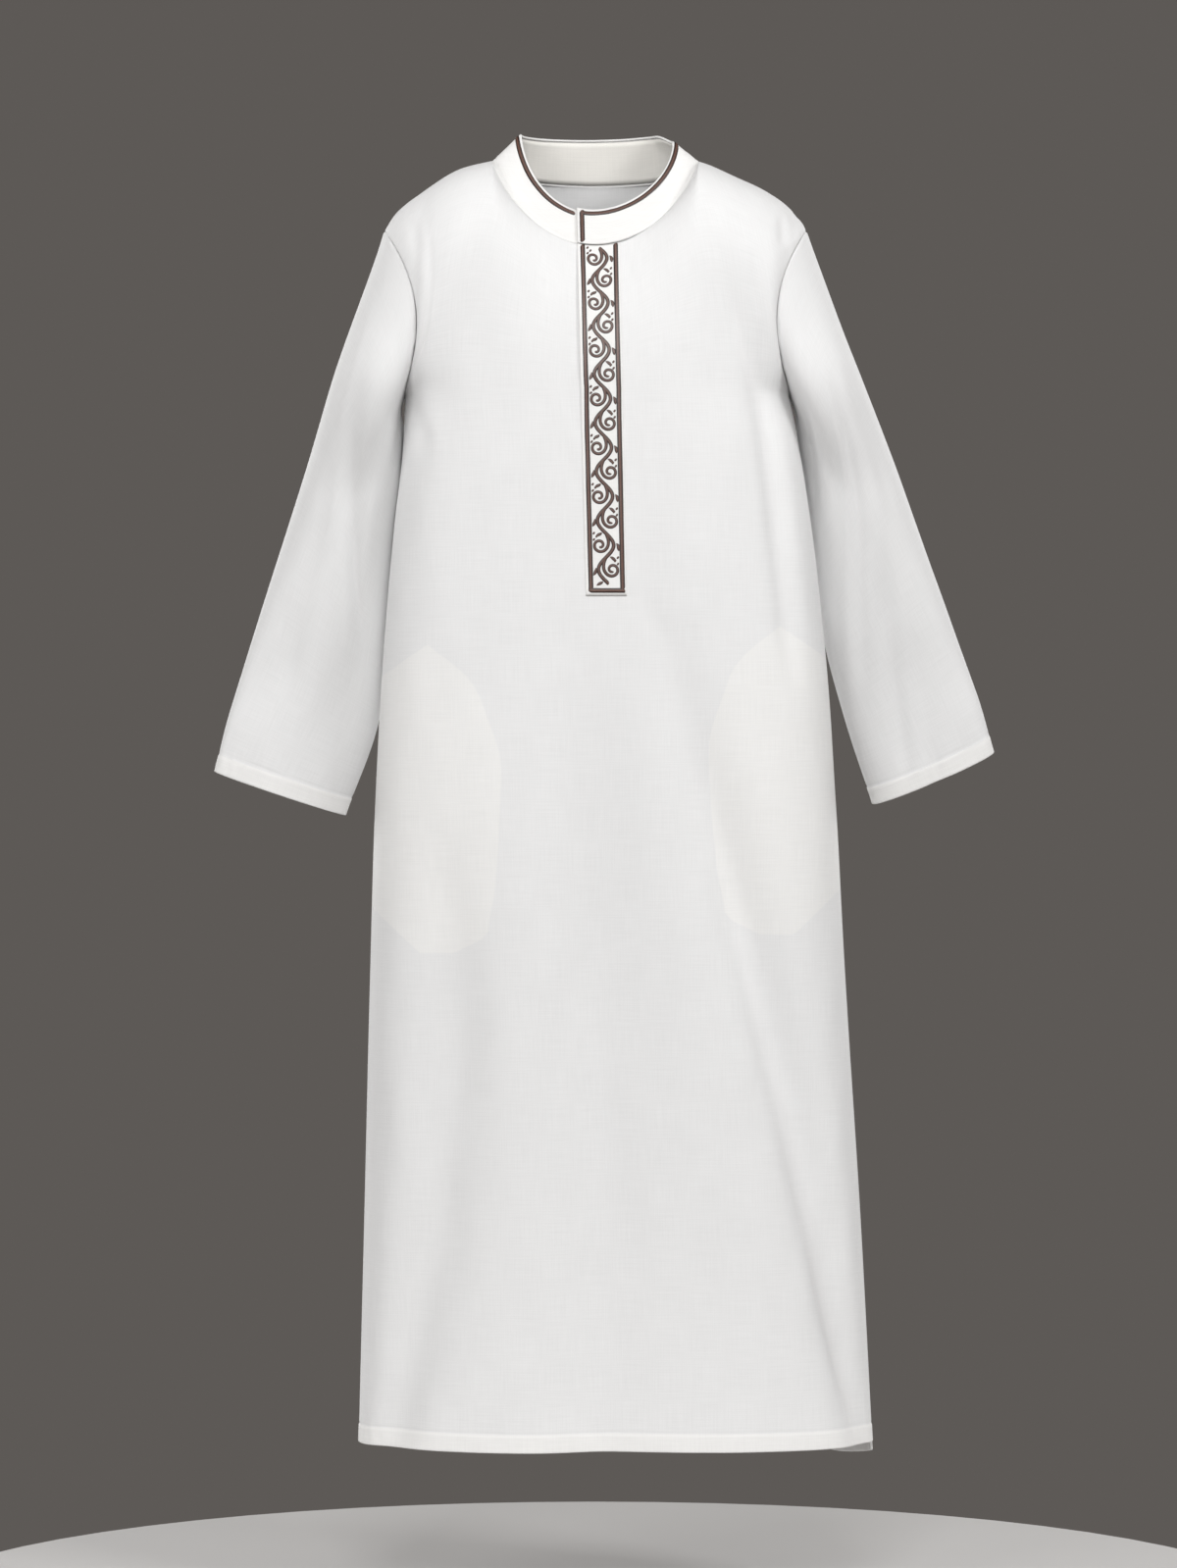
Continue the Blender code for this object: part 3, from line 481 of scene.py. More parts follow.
def read_grid(grid, row, col):
    """A grid read between its rows and columns, so that the point lies on its facets."""
    r = np.clip(np.floor(row).astype(int), 0, grid.shape[0] - 2)
    c = np.clip(np.floor(col).astype(int), 0, grid.shape[1] - 2)
    fr, fc = (row - r)[..., None], (col - c)[..., None]
    low = grid[r, c] * (1 - fc) + grid[r, c + 1] * fc
    high = grid[r + 1, c] * (1 - fc) + grid[r + 1, c + 1] * fc
    return low * (1 - fr) + high * fr


# ---- Sleeves


def armhole(angle_deg, side):
    """The armhole at an angle: 0 the shoulder tip, 90 the front, 180 the armpit, 270 the back."""
    angle = np.radians(angle_deg)
    rise = (1 + np.cos(angle)) / 2
    x = section("middle", ARMPIT_DROP) * (1 - rise) + side * armhole_half(rise)
    depth = np.where(np.sin(angle) > 0, ARMHOLE_FRONT, ARMHOLE_BACK)
    z = -ARMPIT_DROP + (ARMPIT_DROP - shoulder_drop(TIP_HALF)) * rise
    return np.stack([x, -depth * np.sin(angle), z], -1)


def sleeve_fold(angle_deg, down, side, width):
    """How far a sleeve is drawn in: soft troughs as on the body, each from one angle to another."""
    total = np.zeros(np.broadcast(angle_deg, down).shape)
    for fold in rows_of(TUBE_FOLDS, "side", side):
        t = share_down(fold, down)
        away = np.radians(angle_deg - (fold["high"] + (fold["low"] - fold["high"]) * t)) * width / 2
        total = total + fold["depth"] * faded(t) * np.exp(-((away / fold["width"]) ** 2))
    return total


def clear_of_side(points, along, side):
    """Points of a sleeve pushed out sideways where they would reach into the body's side below the armpit."""
    drop = np.maximum(-points[..., 2], ARMPIT_DROP)
    depth = np.where(points[..., 1] < 0, section("front_depth", drop), section("back_depth", drop))
    inside = np.clip(np.abs(points[..., 1]) / depth, 0, 1)
    share = (1 - inside ** (1 / section("fullness", drop))) ** (1 / section("power", drop))
    surface = section("half_width", drop) * share
    out = side * (points[..., 0] - section("middle", drop))
    clear = 2 * SEAM + (SLEEVE_CLEAR - 2 * SEAM) * ease(along / 0.02)
    short = np.maximum(surface + clear - out, 0)
    points[..., 0] += side * short * ease((-points[..., 2] - ARMPIT_DROP) / 0.01 + 1.5)
    return points


def sleeve(angle_deg, along, side):
    """Points of a sleeve: along runs 0..1 from the armhole seam to the cuff. Each section is an ellipse,
    deep at the arm and flat at the cuff, and the first part blends it from the armhole's loop."""
    cut = rows_of(SLEEVES, "side", side)[0]
    key = "right" if side < 0 else "left"
    swing = np.radians(cut["swing_deg"])
    down_axis = np.array([side * np.sin(swing), 0, -np.cos(swing)])
    in_axis = np.array([-side * np.cos(swing), 0, -np.sin(swing)])
    tip = armhole(np.array(0.0), side)
    angle = np.radians(angle_deg)
    inner = (1 - np.cos(angle)) / 2

    start = armhole(angle_deg, side) - tip
    start_down, start_in, start_y = start @ down_axis, start @ in_axis, start[..., 1]
    cuff = cut["hang"] + cut["cuff_slant"] * inner + cut["cuff_bow"] * np.clip(np.sin(angle), 0, 1)
    down = start_down + (cuff - start_down) * along
    width = read_table(TUBE, "width_" + key, down)
    half_depth = read_table(TUBE, "half_depth", down)
    back = read_table(TUBE, "back_" + key, down)
    blend = ease(along / (0.45 - 0.37 * inner**3))
    fold = sleeve_fold(angle_deg, down, side, width) * blend
    across = start_in + (width * inner + fold * np.cos(angle) - start_in) * blend
    y = start_y + (back - (half_depth - fold) * np.sin(angle) - start_y) * blend
    points = tip + down[..., None] * down_axis + across[..., None] * in_axis
    points[..., 1] = y
    return clear_of_side(points, along, side)


# ---- Meshes


def placed(name, data, place=(0, 0, 0), turn=(0, 0, 0)):
    """A mesh, light or camera in the scene."""
    made = bpy.data.objects.new(name, data)
    bpy.context.scene.collection.objects.link(made)
    made.location, made.rotation_euler = place, turn
    return made


def make_mesh(name, points, faces, finish, uv=None, fields=None):
    """An object from arrays: points, faces, a UV pair for each point and named numbers for each point."""
    mesh = bpy.data.meshes.new(name)
    mesh.from_pydata(np.reshape(points, (-1, 3)).tolist(), [], faces)
    corners = np.empty(len(mesh.loops), np.int32)
    mesh.loops.foreach_get("vertex_index", corners)
    if uv is not None:
        layer = mesh.uv_layers.new(name="cloth")
        layer.data.foreach_set("uv", np.reshape(uv, (-1, 2))[corners].astype(np.float32).ravel())
    for field, numbers in (fields or {}).items():
        attribute = mesh.attributes.new(field, "FLOAT", "POINT")
        attribute.data.foreach_set("value", np.asarray(numbers, np.float32).ravel())
    mesh.materials.append(finish)
    mesh.shade_smooth()
    return placed(name, mesh)


def piece(made, slot, *nodes):
    """The piece is part of the robe and stands for these solids; its slot is not used."""
    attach(made, "root")
    if nodes:
        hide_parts(*nodes)
    return made


def grid_faces(numbers, ring=False):
    """The corners of each cell of a grid, from the numbers of its points."""
    right = np.roll(numbers, -1, axis=1)
    faces = np.stack([numbers[:-1], right[:-1], right[1:], numbers[1:]], -1)
    return (faces if ring else faces[:, :-1]).reshape(-1, 4)


def outward(grid, ring=False):
    """Unit normals of a grid, from differences along rows and columns, facing away from the middle."""
    around = np.concatenate([grid[:, -1:], grid, grid[:, :1]], 1) if ring else grid
    n = np.cross(np.gradient(around, axis=1), np.gradient(around, axis=0))
    n = unit(n[:, 1:-1] if ring else n)
    away = grid - (grid.mean(axis=1, keepdims=True) if ring else 0)
    return n * np.sign((n[..., :2] * away[..., :2]).sum())


def lengths_along(grid, axis):
    """Distance from the first point along each row (axis 1) or column (axis 0) of a grid."""
    steps = np.linalg.norm(np.diff(grid, axis=axis), axis=-1)
    return np.concatenate([np.zeros_like(steps.take([0], axis)), np.cumsum(steps, axis)], axis)


def cloth_sheet(name, grid, finish, wall=CLOTH_WALL, ring=False, fields=None, slit_from=None):
    """A sheet of cloth on a grid, thickened inwards. Its UV map is the cloth laid flat, in metres. Below the
    row slit_from the two middle columns are one line of points."""
    rows, cols = grid.shape[:2]
    u = lengths_along(grid, 1)
    u = u - u[:, cols // 2 : cols // 2 + 1]
    v = lengths_along(grid, 0).mean(axis=1)[:, None] + 0 * u
    numbers = np.arange(rows * cols).reshape(rows, cols)
    if slit_from is None:
        faces = grid_faces(numbers, ring)
    else:
        numbers[:slit_from, cols // 2] = numbers[:slit_from, cols // 2 - 1]
        cells = grid_faces(numbers).reshape(rows - 1, cols - 1, 4)
        faces = np.delete(cells, cols // 2 - 1, axis=1).reshape(-1, 4)
    n = outward(grid, ring).reshape(-1, 3)
    p = grid.reshape(-1, 3)
    facing = np.cross(p[faces[:, 1]] - p[faces[:, 0]], p[faces[:, 3]] - p[faces[:, 0]])
    if (facing * n[faces[:, 0]]).sum() < 0:
        faces = faces[:, ::-1]
    used = np.zeros(rows * cols, bool)
    used[faces] = True
    renumbered = np.cumsum(used) - 1
    fields = {key: np.reshape(value, -1)[used] for key, value in (fields or {}).items()}
    uv = np.stack([u, v], -1).reshape(-1, 2)[used]
    made = make_mesh(name, p[used], renumbered[faces].tolist(), finish, uv, fields)
    thick = made.modifiers.new("wall", "SOLIDIFY")
    thick.thickness = wall
    thick.offset = -1
    return made


def hem_turned_up(grid, out, fields, levels):
    """The grid with its first row rolled round a small radius and led back up inside, to these levels."""
    up = unit(grid[3] - grid[0])
    centre = grid[0] + (up - out[0]) * HEM_ROLL
    turns = np.radians([150.0, 100.0, 50.0, 0.0])[:, None, None]
    arc = centre + HEM_ROLL * (out[0] * np.cos(turns) - up * np.sin(turns))
    inside = grid[levels] - 2 * HEM_ROLL * out[levels]
    joined = np.concatenate([inside, arc, grid[1:]])
    added = {
        key: np.concatenate([value[levels], np.repeat(value[:1], len(arc), 0), value[1:]])
        for key, value in fields.items()
    }
    return joined, added


# ---- Detail of the cloth

HEM_LIFT = 0.0006  # how far the second layer of a hem lifts the first
SINK, SINK_WIDTH = 0.0007, 0.0013  # how far a hem's stitch line draws the cloth in, and how wide
PUCKER = 0.00035


def dip_at(distance, depth=SEAM_DIP, reach=SEAM_REACH):
    """A rounded edge: depth where the distance to the seam is 0, nothing past its reach."""
    return depth * (1 - ease(distance / reach))


def hashed(numbers):
    """Numbers from 0 to 1 that look random and are the same each time: the far decimals of a sine."""
    return np.mod(np.sin(np.asarray(numbers) * 12.9898 + 4.1414) * 43758.5453, 1)


def soft_waves(u, v, seed, size, count=7, stretch=3.0):
    """A mean of sines in turned directions, each about size long across and stretched down the cloth."""
    total = 0
    for i in range(count):
        a, b, c = hashed([seed + i * 3.1, seed + i * 5.7, seed + i * 7.3])
        along_u = (0.6 + 0.9 * a) / size
        along_v = (b - 0.5) * 2 / (size * stretch)
        total = total + np.sin(2 * np.pi * (u * along_u + v * along_v + c))
    return total / count


def creases(points, table):
    """How deep each point lies in the creases: a trough exp(-(q/width)^2) across the nearest place of a curve
    through its three points, with a lip beside it, fading to both ends."""
    seen = VIEW_FROM / (VIEW_FROM + points[..., 1])
    x, d = points[..., 0] * seen, -points[..., 2] * seen
    depth = np.zeros(x.shape)
    t = np.linspace(0, 1, 61)
    for c in rows_of(table):
        px, pd = (c[k + "0"] * (1 - t) ** 2 + 2 * c[k + "1"] * t * (1 - t) + c[k + "2"] * t**2 for k in "xd")
        reach = 4 * c["width"]
        near = (x > px.min() - reach) & (x < px.max() + reach)
        near &= (d > pd.min() - reach) & (d < pd.max() + reach)
        xs, ds = x[near][:, None], d[near][:, None]
        far = (xs - px) ** 2 + (ds - pd) ** 2
        best = far.argmin(axis=1)
        q = np.sqrt(far.min(axis=1)) / c["width"]
        side = np.sign(xs[:, 0] - px[best])
        lip = c["lip"] * np.exp(-((side * q - 1.7) ** 2))
        depth[near] += c["depth"] * faded(t[best], 0.35, 0.35) * (np.exp(-(q**2)) - lip)
    return depth


def hem_relief(above, along, width, seed):
    """The turned-up hem: a second layer lifts the cloth below the stitch line, the line itself draws it in,
    and small uneven puckers stand along it."""
    lifted = HEM_LIFT * (1 - ease((above - width + 0.001) / 0.002))
    line = SINK * np.exp(-(((above - width) / SINK_WIDTH) ** 2))
    band = np.exp(-(((above - 0.7 * width) / (0.55 * width)) ** 2))
    uneven = 0.5 + 0.5 * np.sin(2 * np.pi * (along * 7.3 + seed))
    pucker = np.sin(2 * np.pi * (along * 46 + above * 9 + 0.6 * np.sin(along * 61 + seed)))
    return lifted - line + PUCKER * band * uneven * pucker


# ---- Body

FINE_HEM = 0.026  # the rows are closer up to this height
LARGE_WAVE, LARGE_LENGTH = 0.0016, 0.16  # soft waves over the panels: height and length
SMALL_WAVE, SMALL_LENGTH = 0.0006, 0.055
CALM_EDGE, CALM_TOP = 0.03, 0.12  # they fade this far before the seams, and over this drop
BAG_CORNERS = ((0.68, 0.050, 0.82), (0.88, 0.056, 0.75))  # upper and lower: slope, width, cosine


def eased_armpit(grid):
    """The panel without the ledge across it at the armpits: each point moves towards a mean of its column,
    weighted by exp(-(gap / reach)^2) and by the length of column that each point stands for."""
    down = lengths_along(grid, 0)
    stands_for = np.gradient(down, axis=0)
    gap = (down[:, None] - down[None, :]) / ARMPIT_REACH
    weight = np.exp(-(gap**2)) * stands_for[None, :]
    mean = np.einsum("ijc,jcd->icd", weight, grid) / weight.sum(axis=1)[..., None]
    across = lengths_along(grid, 1)
    from_side = np.minimum(across, across[:, -1:] - across)
    near = np.exp(-(((-grid[..., 2] - ARMPIT_DROP) / (2.2 * ARMPIT_REACH)) ** 4))
    share = near * ease(from_side / 0.018)
    share[0] = share[-1] = 0
    return grid + (mean - grid) * share[..., None]


def shoulders_tilted(grid):
    """The panel with the right shoulder carried a little higher than the left one, by soft humps."""
    out = np.abs(grid[..., 0])
    near = np.exp(-(((out - TILT_AT) / TILT_WIDTH) ** 2)) * np.exp(-((grid[..., 2] / TILT_FALL) ** 2))
    return grid + np.stack([0 * near, 0 * near, -np.sign(grid[..., 0]) * SHOULDER_TILT * near], -1)


def panel_rows():
    """Up values of the fine panels: closer at the hem, the armpits and the top line."""
    hem = np.linspace(0, FINE_HEM, 14)[:-1] / SKIRT
    skirt = np.linspace(FINE_HEM / SKIRT, 1, 116)
    rise = np.concatenate([np.linspace(0, 0.12, 10)[1:] ** 2, np.linspace(0.03, 0.99, 54), [0.996, 1.0]])
    return np.concatenate([hem, skirt, up_at_rise(rise)])


def panel_columns():
    """Across values: evenly spread, closer beside the seams and with a pair at the slit in the middle."""
    edge = 0.0055 * np.arange(5)
    half = np.concatenate([np.linspace(0, 1 - edge[-1] - 0.012, 72), 1 - edge[::-1]])
    return np.concatenate([-half[::-1], half])


def fine_panel(face, table):
    """A panel on the fine grid, with its creases, rolled edges, soft waves and hem along the normals. Gives
    its points, its normals, the height of each above the hem, and its up and across values."""
    across, up = panel_columns(), panel_rows()
    middle = len(across) // 2
    base = shoulders_tilted(eased_armpit(panel(across[None, :], up[:, None], face)))
    out = outward(np.delete(base, middle, axis=1))
    out = np.insert(out, middle, out[:, middle - 1], axis=1)
    u = lengths_along(base, 1)
    from_side = np.minimum(u, u[:, -1:] - u)
    u = u - u[:, [middle]]
    from_top = lengths_along(base[::-1], 0)[::-1]
    above = SKIRT * np.minimum(up, 1)[:, None] + 0 * u
    drop = -base[..., 2]

    raised = LARGE_WAVE * soft_waves(u, drop, 3 + face, LARGE_LENGTH)
    raised += SMALL_WAVE * soft_waves(u, drop, 11 + face, SMALL_LENGTH)
    raised *= ease(from_side / CALM_EDGE) * ease(from_top / CALM_EDGE) * ease(drop / CALM_TOP)
    raised -= creases(base, table) * ease(from_side / 0.006) * ease(from_top / 0.006)
    raised -= body_fold(across[None, :] + 0 * u, drop, face, SHARPER_FOLDS) * ease(from_side / CALM_EDGE)
    raised -= dip_at(from_side) + dip_at(from_top)
    raised += hem_relief(above, u, HEM_WIDTH, 0.3 + face)
    grid = base + out * raised[..., None]
    closed = SEAM / 2 * (1 - ease(from_side / 0.004))
    closed += (SEAM / 2 + SHOULDER_EASE) * (1 - ease(from_top / 0.004))
    grid[..., 1] -= face * closed * (np.abs(base[..., 1]) < 0.03)
    return grid, out, {"above_hem": above}, (up, across)


def bag_distance(points):
    """How far inside the outline of a pocket bag a point of the front lies, negative outside, in metres: the
    least of its distances to the curved edge, to the two ends and to the two slanted corners at the seam."""
    drop = -points[..., 2]
    low = np.maximum(drop, ARMPIT_DROP)
    half, middle = section("half_width", low), section("middle", low)
    inside = np.full(drop.shape, -1.0)
    drops, far = column(BAG, "drop"), column(BAG, "far")
    for side, lift in BAG_LIFTS:
        from_seam = half - side * (points[..., 0] - middle)
        level = drop + lift
        steep = np.interp(level, drops, np.abs(np.gradient(far, drops)))
        within = (smooth(level, drops, far) - from_seam) / np.sqrt(1 + steep**2)
        for from_end, (slope, width, cosine) in zip((level - drops[0], drops[-1] - level), BAG_CORNERS):
            corner = cosine * (from_end - slope * (width - from_seam))
            within = np.minimum(within, np.minimum(from_end, corner))
        inside = np.maximum(inside, within)
    return inside


def make_body(front_finish, back_finish):
    """The front and back. Gives the grid, the normals and the up and across values of each."""
    made = {}
    for face, table, name, node, finish in (
        (-1, FRONT_CREASES, "front_cloth", "front_panel", front_finish),
        (1, BACK_CREASES, "back_cloth", "back_panel", back_finish),
    ):
        grid, out, fields, (up, across) = fine_panel(face, table)
        made[face] = grid, out, (up, across)
        if face < 0:
            fields["in_bag"] = bag_distance(grid)
        levels = np.flatnonzero(up * SKIRT <= HEM_WIDTH)[:0:-3]
        turned, fields = hem_turned_up(grid, out, fields, levels)
        middle, slit = len(across) // 2, None
        if face < 0:
            slit = len(turned) - int((up > up_at(SLIT_DROP)).sum())
            turned[slit:, middle - 1, 0] -= SLIT_HALF
            turned[slit:, middle, 0] += SLIT_HALF
        else:
            turned = np.delete(turned, middle, axis=1)
            fields = {key: np.delete(value, middle, axis=1) for key, value in fields.items()}
        sheet = cloth_sheet(name, turned, finish, fields=fields, slit_from=slit)
        piece(sheet, "white_cloth", node)
    return made


# ---- Sleeves

FULLER_FROM = {-1: 0.0, 1: 0.10}  # the outer side of each sleeve fills out from this far down
ARM_WAVE, GATHER = 0.0012, 0.0004  # heights of the soft waves and of the gathers at the armhole


def fine_sleeve(side):
    """A sleeve from the cuff up, with its folds, gathers at the armhole and hem along the normals. Gives its
    points, its normals and the height of each above the hem."""
    angles = np.linspace(0, 360, 121)[:-1]
    cuff_rows = 1 - np.linspace(0, 0.027, 14) / 0.5
    arm_rows = np.linspace(0.019, cuff_rows[-1], 110)[:-1]
    along = np.concatenate([[0, 0.004, 0.008, 0.013], arm_rows, cuff_rows[::-1]])
    base = sleeve(angles[None, :], along[:, None], side)
    out = outward(base, ring=True)
    down = lengths_along(base, 0)
    around = lengths_along(np.concatenate([base, base[:, :1]], 1), 1)
    u, girth = around[:, :-1], around[:, -1:]
    above = down[-1:] - down

    outer = ((1 + np.cos(np.radians(angles))[None, :]) / 2) ** 3
    inner = np.exp(-(((angles[None, :] - INNER_TURN) / INNER_WIDTH) ** 2))
    raised = SLEEVE_FULLER * outer * ease((down - FULLER_FROM[side]) / 0.2)
    raised = (raised + INNER_FULLER * inner * ease((down - 0.05) / 0.08)) * ease(above / 0.1 + 0.3)
    raised += ARM_WAVE * soft_waves(u / girth * 0.4, down, 20 + side, 0.1) * ease(down / 0.06)
    for fold in rows_of(TUBE_CREASES, "side", side):
        t = share_down(fold, down)
        turn = (angles[None, :] - (fold["high"] + (fold["low"] - fold["high"]) * t) + 180) % 360 - 180
        q = turn / 360 * girth / fold["width"]
        raised -= fold["depth"] * faded(t) * (np.exp(-(q**2)) - 0.5 * np.exp(-((q - 1.7) ** 2)))
    gathers = np.sin(2 * np.pi * (u * 21 + 0.4 * np.sin(u * 37))) * np.exp(-((down / 0.012) ** 2))
    raised += GATHER * gathers * ease(down / 0.004)
    raised += hem_relief(above, u, CUFF_HEM, 0.9 * side) - dip_at(down, 0.0004)
    grid = base + out * raised[..., None]
    grid[0] -= 0.0012 * unit(grid[1] - grid[0]) + 0.0009 * out[0]
    return grid[::-1], out[::-1], {"above_hem": above[::-1]}


def make_sleeves(finish):
    """Both sleeves. Gives the grid, the normals and the heights above the cuff of each."""
    made = {}
    for side, name in ((-1, "right"), (1, "left")):
        grid, out, fields = fine_sleeve(side)
        made[side] = grid, out, fields["above_hem"]
        turned, fields = hem_turned_up(grid, out, fields, np.arange(10, 0, -3))
        sheet = cloth_sheet(f"{name}_sleeve_cloth", turned, finish, ring=True, fields=fields)
        piece(sheet, "white_cloth", f"sleeve_{name}")
    return made


# ---- Collar


def collar_top(turn_deg):
    """The collar's top edge at a turn: an ellipse, level at the back and falling to the front by the root of
    the cosine squared plus a small number squared."""
    left, back, front = round_neck(turn_deg)
    soft = COLLAR_SOFT
    steep = (np.sqrt(front**2 + soft**2) - soft) / (np.sqrt(1 + soft**2) - soft)
    y = COLLAR_BACK * back - COLLAR_FRONT * front
    return np.stack([COLLAR_HALF * left, y, COLLAR_TOP - COLLAR_DROP_FRONT * steep], -1)


BAND_HEIGHT = float(np.linalg.norm(collar_top(180.0) - neck_seam(180.0)))


def band_turns(half):
    """Turns round the neck on a ring of this half width, from the hidden end to the lapped one."""
    under = -180 - np.degrees(np.arcsin(np.linspace(UNDER_END, 0, 9)[:-1] / half))
    lapped = 180 - np.degrees(np.arcsin(np.linspace(0, LAP_END, 11)[1:] / half))
    return np.concatenate([under, np.linspace(-180, 180, 145), lapped])


def band(heights, depth_in):
    """The collar as a cone between the neck seam and its top edge: heights 0 to 1, depth_in under its face.
    Gives points, outward normals and the direction up the band."""
    base_turn, top_turn = band_turns(NECK_HALF), band_turns(COLLAR_HALF)
    base, top = neck_seam(base_turn), collar_top(top_turn)
    sideways, up = (read_table(COLLAR_BEND, name, top_turn) for name in ("sideways", "up"))
    top = top + np.stack([sideways, 0 * top_turn, up], -1)
    slope = unit(top - base)
    base = base + COLLAR_LIFT * slope
    grid = base + (top - base) * np.asarray(heights)[:, None, None]
    out = outward_of_ring(base + (top - base) * np.linspace(0, 1, 3)[:, None, None])[1]
    lift = LAP_RISE * ease((base_turn - LAP_FROM) / LAP_OVER)
    return grid + out * (lift[:, None] - depth_in), out, slope


def outward_of_ring(grid):
    """Unit normals of a band round the neck, each facing away from the neck's middle."""
    n = unit(np.cross(np.gradient(grid, axis=1), np.gradient(grid, axis=0)))
    return n * np.sign((n[..., :2] * grid[..., :2]).sum(-1))[..., None]


def make_collar(white, cream, brown):
    """The band, its facing and its edging. Gives the band's grid, its normals and the height of each row."""
    under, stitch = -COLLAR_UNDER / BAND_HEIGHT, NECK_STITCH / BAND_HEIGHT
    low = [under, 0.4 * under, 0, stitch / 2, stitch * 0.8, stitch, stitch * 1.2]
    rows = np.concatenate([low, np.linspace(0.17, 1 - COLLAR_ROLL / BAND_HEIGHT, 14)])
    grid, out, slope = band(rows, 0)
    across = lengths_along(grid, 1)
    from_end = np.minimum(across, across[:, -1:] - across)
    height = (rows * BAND_HEIGHT)[:, None]
    raised = BAND_LAY - dip_at(height + COLLAR_UNDER, *BAND_DIP)
    raised = raised - 0.0004 * np.exp(-(((height - NECK_STITCH) / 0.0009) ** 2))
    raised = raised - dip_at(from_end, *BAND_END_DIP) - creases(grid, BAND_CREASES)
    raised = raised + 0.0005 * soft_waves(across, height, 31, 0.07, stretch=1.0) * ease(height / 0.012)
    grid = grid + out * raised[..., None]
    centre = grid[-1] - COLLAR_ROLL * out
    turns = np.radians([25.0, 50.0, 75.0, 100.0, 125.0, 150.0, 180.0])[:, None, None]
    roll = centre + COLLAR_ROLL * (out * np.cos(turns) + slope * np.sin(turns))
    grid = np.concatenate([grid, roll, roll[-1:] - 0.0008 * slope])
    sheet = piece(cloth_sheet("collar_band", grid, white), "white_cloth", "collar_stand")

    inner, _, _ = band(np.linspace(0.02, 1 - 2.6 * COLLAR_ROLL / BAND_HEIGHT, 10), CLOTH_WALL + SEAM)
    waves = 0.0004 * soft_waves(lengths_along(inner, 1), lengths_along(inner, 0), 47, 0.06, stretch=1.0)
    facing = cloth_sheet("collar_facing_cloth", inner + out * (waves - 0.0002)[..., None], cream)
    piece(facing, "cream_facing", "collar_facing")

    grid = grid[: len(rows)]
    out = np.broadcast_to(out, grid.shape)
    row = place_in(rows, 1 - EDGING_AT / BAND_HEIGHT)
    start = int(np.argmin(np.abs(grid[-1, :20, 0] - UNDER_EDGING) + (grid[-1, :20, 1] > 0)))
    cols = np.arange(start, grid.shape[1] - 1 - 1.6, 0.5)
    down = np.linspace(row + 1.2, 1.0, 40)
    end_col = grid.shape[1] - 12 + place_in(-grid[8, -12:, 0], -LAP_END - EDGING_AT)
    strokes = [stroke_on(grid, out, *at, EDGING_WIDTH) for at in ((row, cols), (down, end_col))]
    piece(satin("collar_satin_edge", strokes, brown), "brown_thread", "collar_edging")
    return grid, out, rows


# ---- Satin stitching

THREAD = 0.0007  # from one thread of the satin to the next
SATIN_HEIGHT = 0.0007
SATIN_ACROSS = np.array([-1.0, -0.84, -0.42, 0.42, 0.84, 1.0, 0.55, -0.55])
SATIN_UP = np.array([-0.2, 0.62, 1.0, 1.0, 0.62, -0.2, -0.8, -0.8])
SATIN_SLANT = 0.45
SATIN_LOWER, SATIN_NARROWER = 0.2, 0.05  # every other row, as shares


def stroke_on(grid, out, row, col, width=0.0):
    """A stroke on a grid, from its places down and across it: its path, the normals there and its width."""
    row, col = np.broadcast_arrays(row, col)
    return read_grid(grid, row, col), unit(read_grid(out, row, col)), np.broadcast_to(width, row.shape)


def satin_stroke(path, normals, widths):
    """Points, faces and UV of one stroke: a low arch carried along its path, two rows of points to a thread,
    every other row lower and narrower, each row slanted, and both ends rounded and closed."""
    along = lengths_along(path[None], 1)[0]
    rows = max(int(along[-1] / (THREAD / 2)), 6)
    s = np.linspace(0, along[-1], rows)
    side = np.cross(unit(np.gradient(path, axis=0)), normals)
    width = np.interp(s, along, widths)
    from_end = np.clip(np.minimum(s, along[-1] - s) / (width / 2), 0, 1)
    round_end = np.maximum(np.sqrt(1 - (1 - from_end) ** 2), 0.12)[:, None]
    at = np.clip(s[:, None] + SATIN_ACROSS * width[:, None] / 2 * SATIN_SLANT * round_end, 0, along[-1])
    other = (np.arange(rows) % 2)[:, None]
    half = width[:, None] / 2 * round_end * (1 - SATIN_NARROWER * other)
    height = SATIN_HEIGHT * (1 - SATIN_LOWER * other) * (0.35 + 0.65 * round_end)
    points = read_path(at, along, path) + read_path(at, along, side) * (SATIN_ACROSS * half)[..., None]
    points = points + read_path(at, along, normals) * (SATIN_UP * height)[..., None]
    faces = grid_faces(np.arange(rows * 8).reshape(rows, 8), ring=True).tolist()
    faces += [list(range(8)), list(range(8 * rows - 1, 8 * rows - 9, -1))]
    uv = np.stack(np.broadcast_arrays((SATIN_ACROSS + 1) / 2, s[:, None]), -1)
    return points.reshape(-1, 3), faces, uv.reshape(-1, 2)


def joined(name, parts, finish):
    """One mesh of closed parts, each with its points, faces and UV pairs or None. All face outwards."""
    points, faces, uv, first = [], [], [], 0
    for part_points, part_faces, part_uv in parts:
        faces += [[first + i for i in face] for face in part_faces]
        first += len(part_points)
        points.append(part_points)
        uv.append(part_uv)
    uv = None if uv[0] is None else np.concatenate(uv)
    made = make_mesh(name, np.concatenate(points), faces, finish, uv)
    mesh = bmesh.new()
    mesh.from_mesh(made.data)
    bmesh.ops.recalc_face_normals(mesh, faces=mesh.faces)
    mesh.to_mesh(made.data)
    mesh.free()
    return made


def satin(name, strokes, finish):
    return joined(name, [satin_stroke(*stroke) for stroke in strokes], finish)


# ---- Stitches

STITCH_PITCH, STITCH_LENGTH = 0.0030, 0.0023
STITCH_WIDTH, STITCH_HEIGHT = 0.00045, 0.0003
RING = 6  # points round a stitch


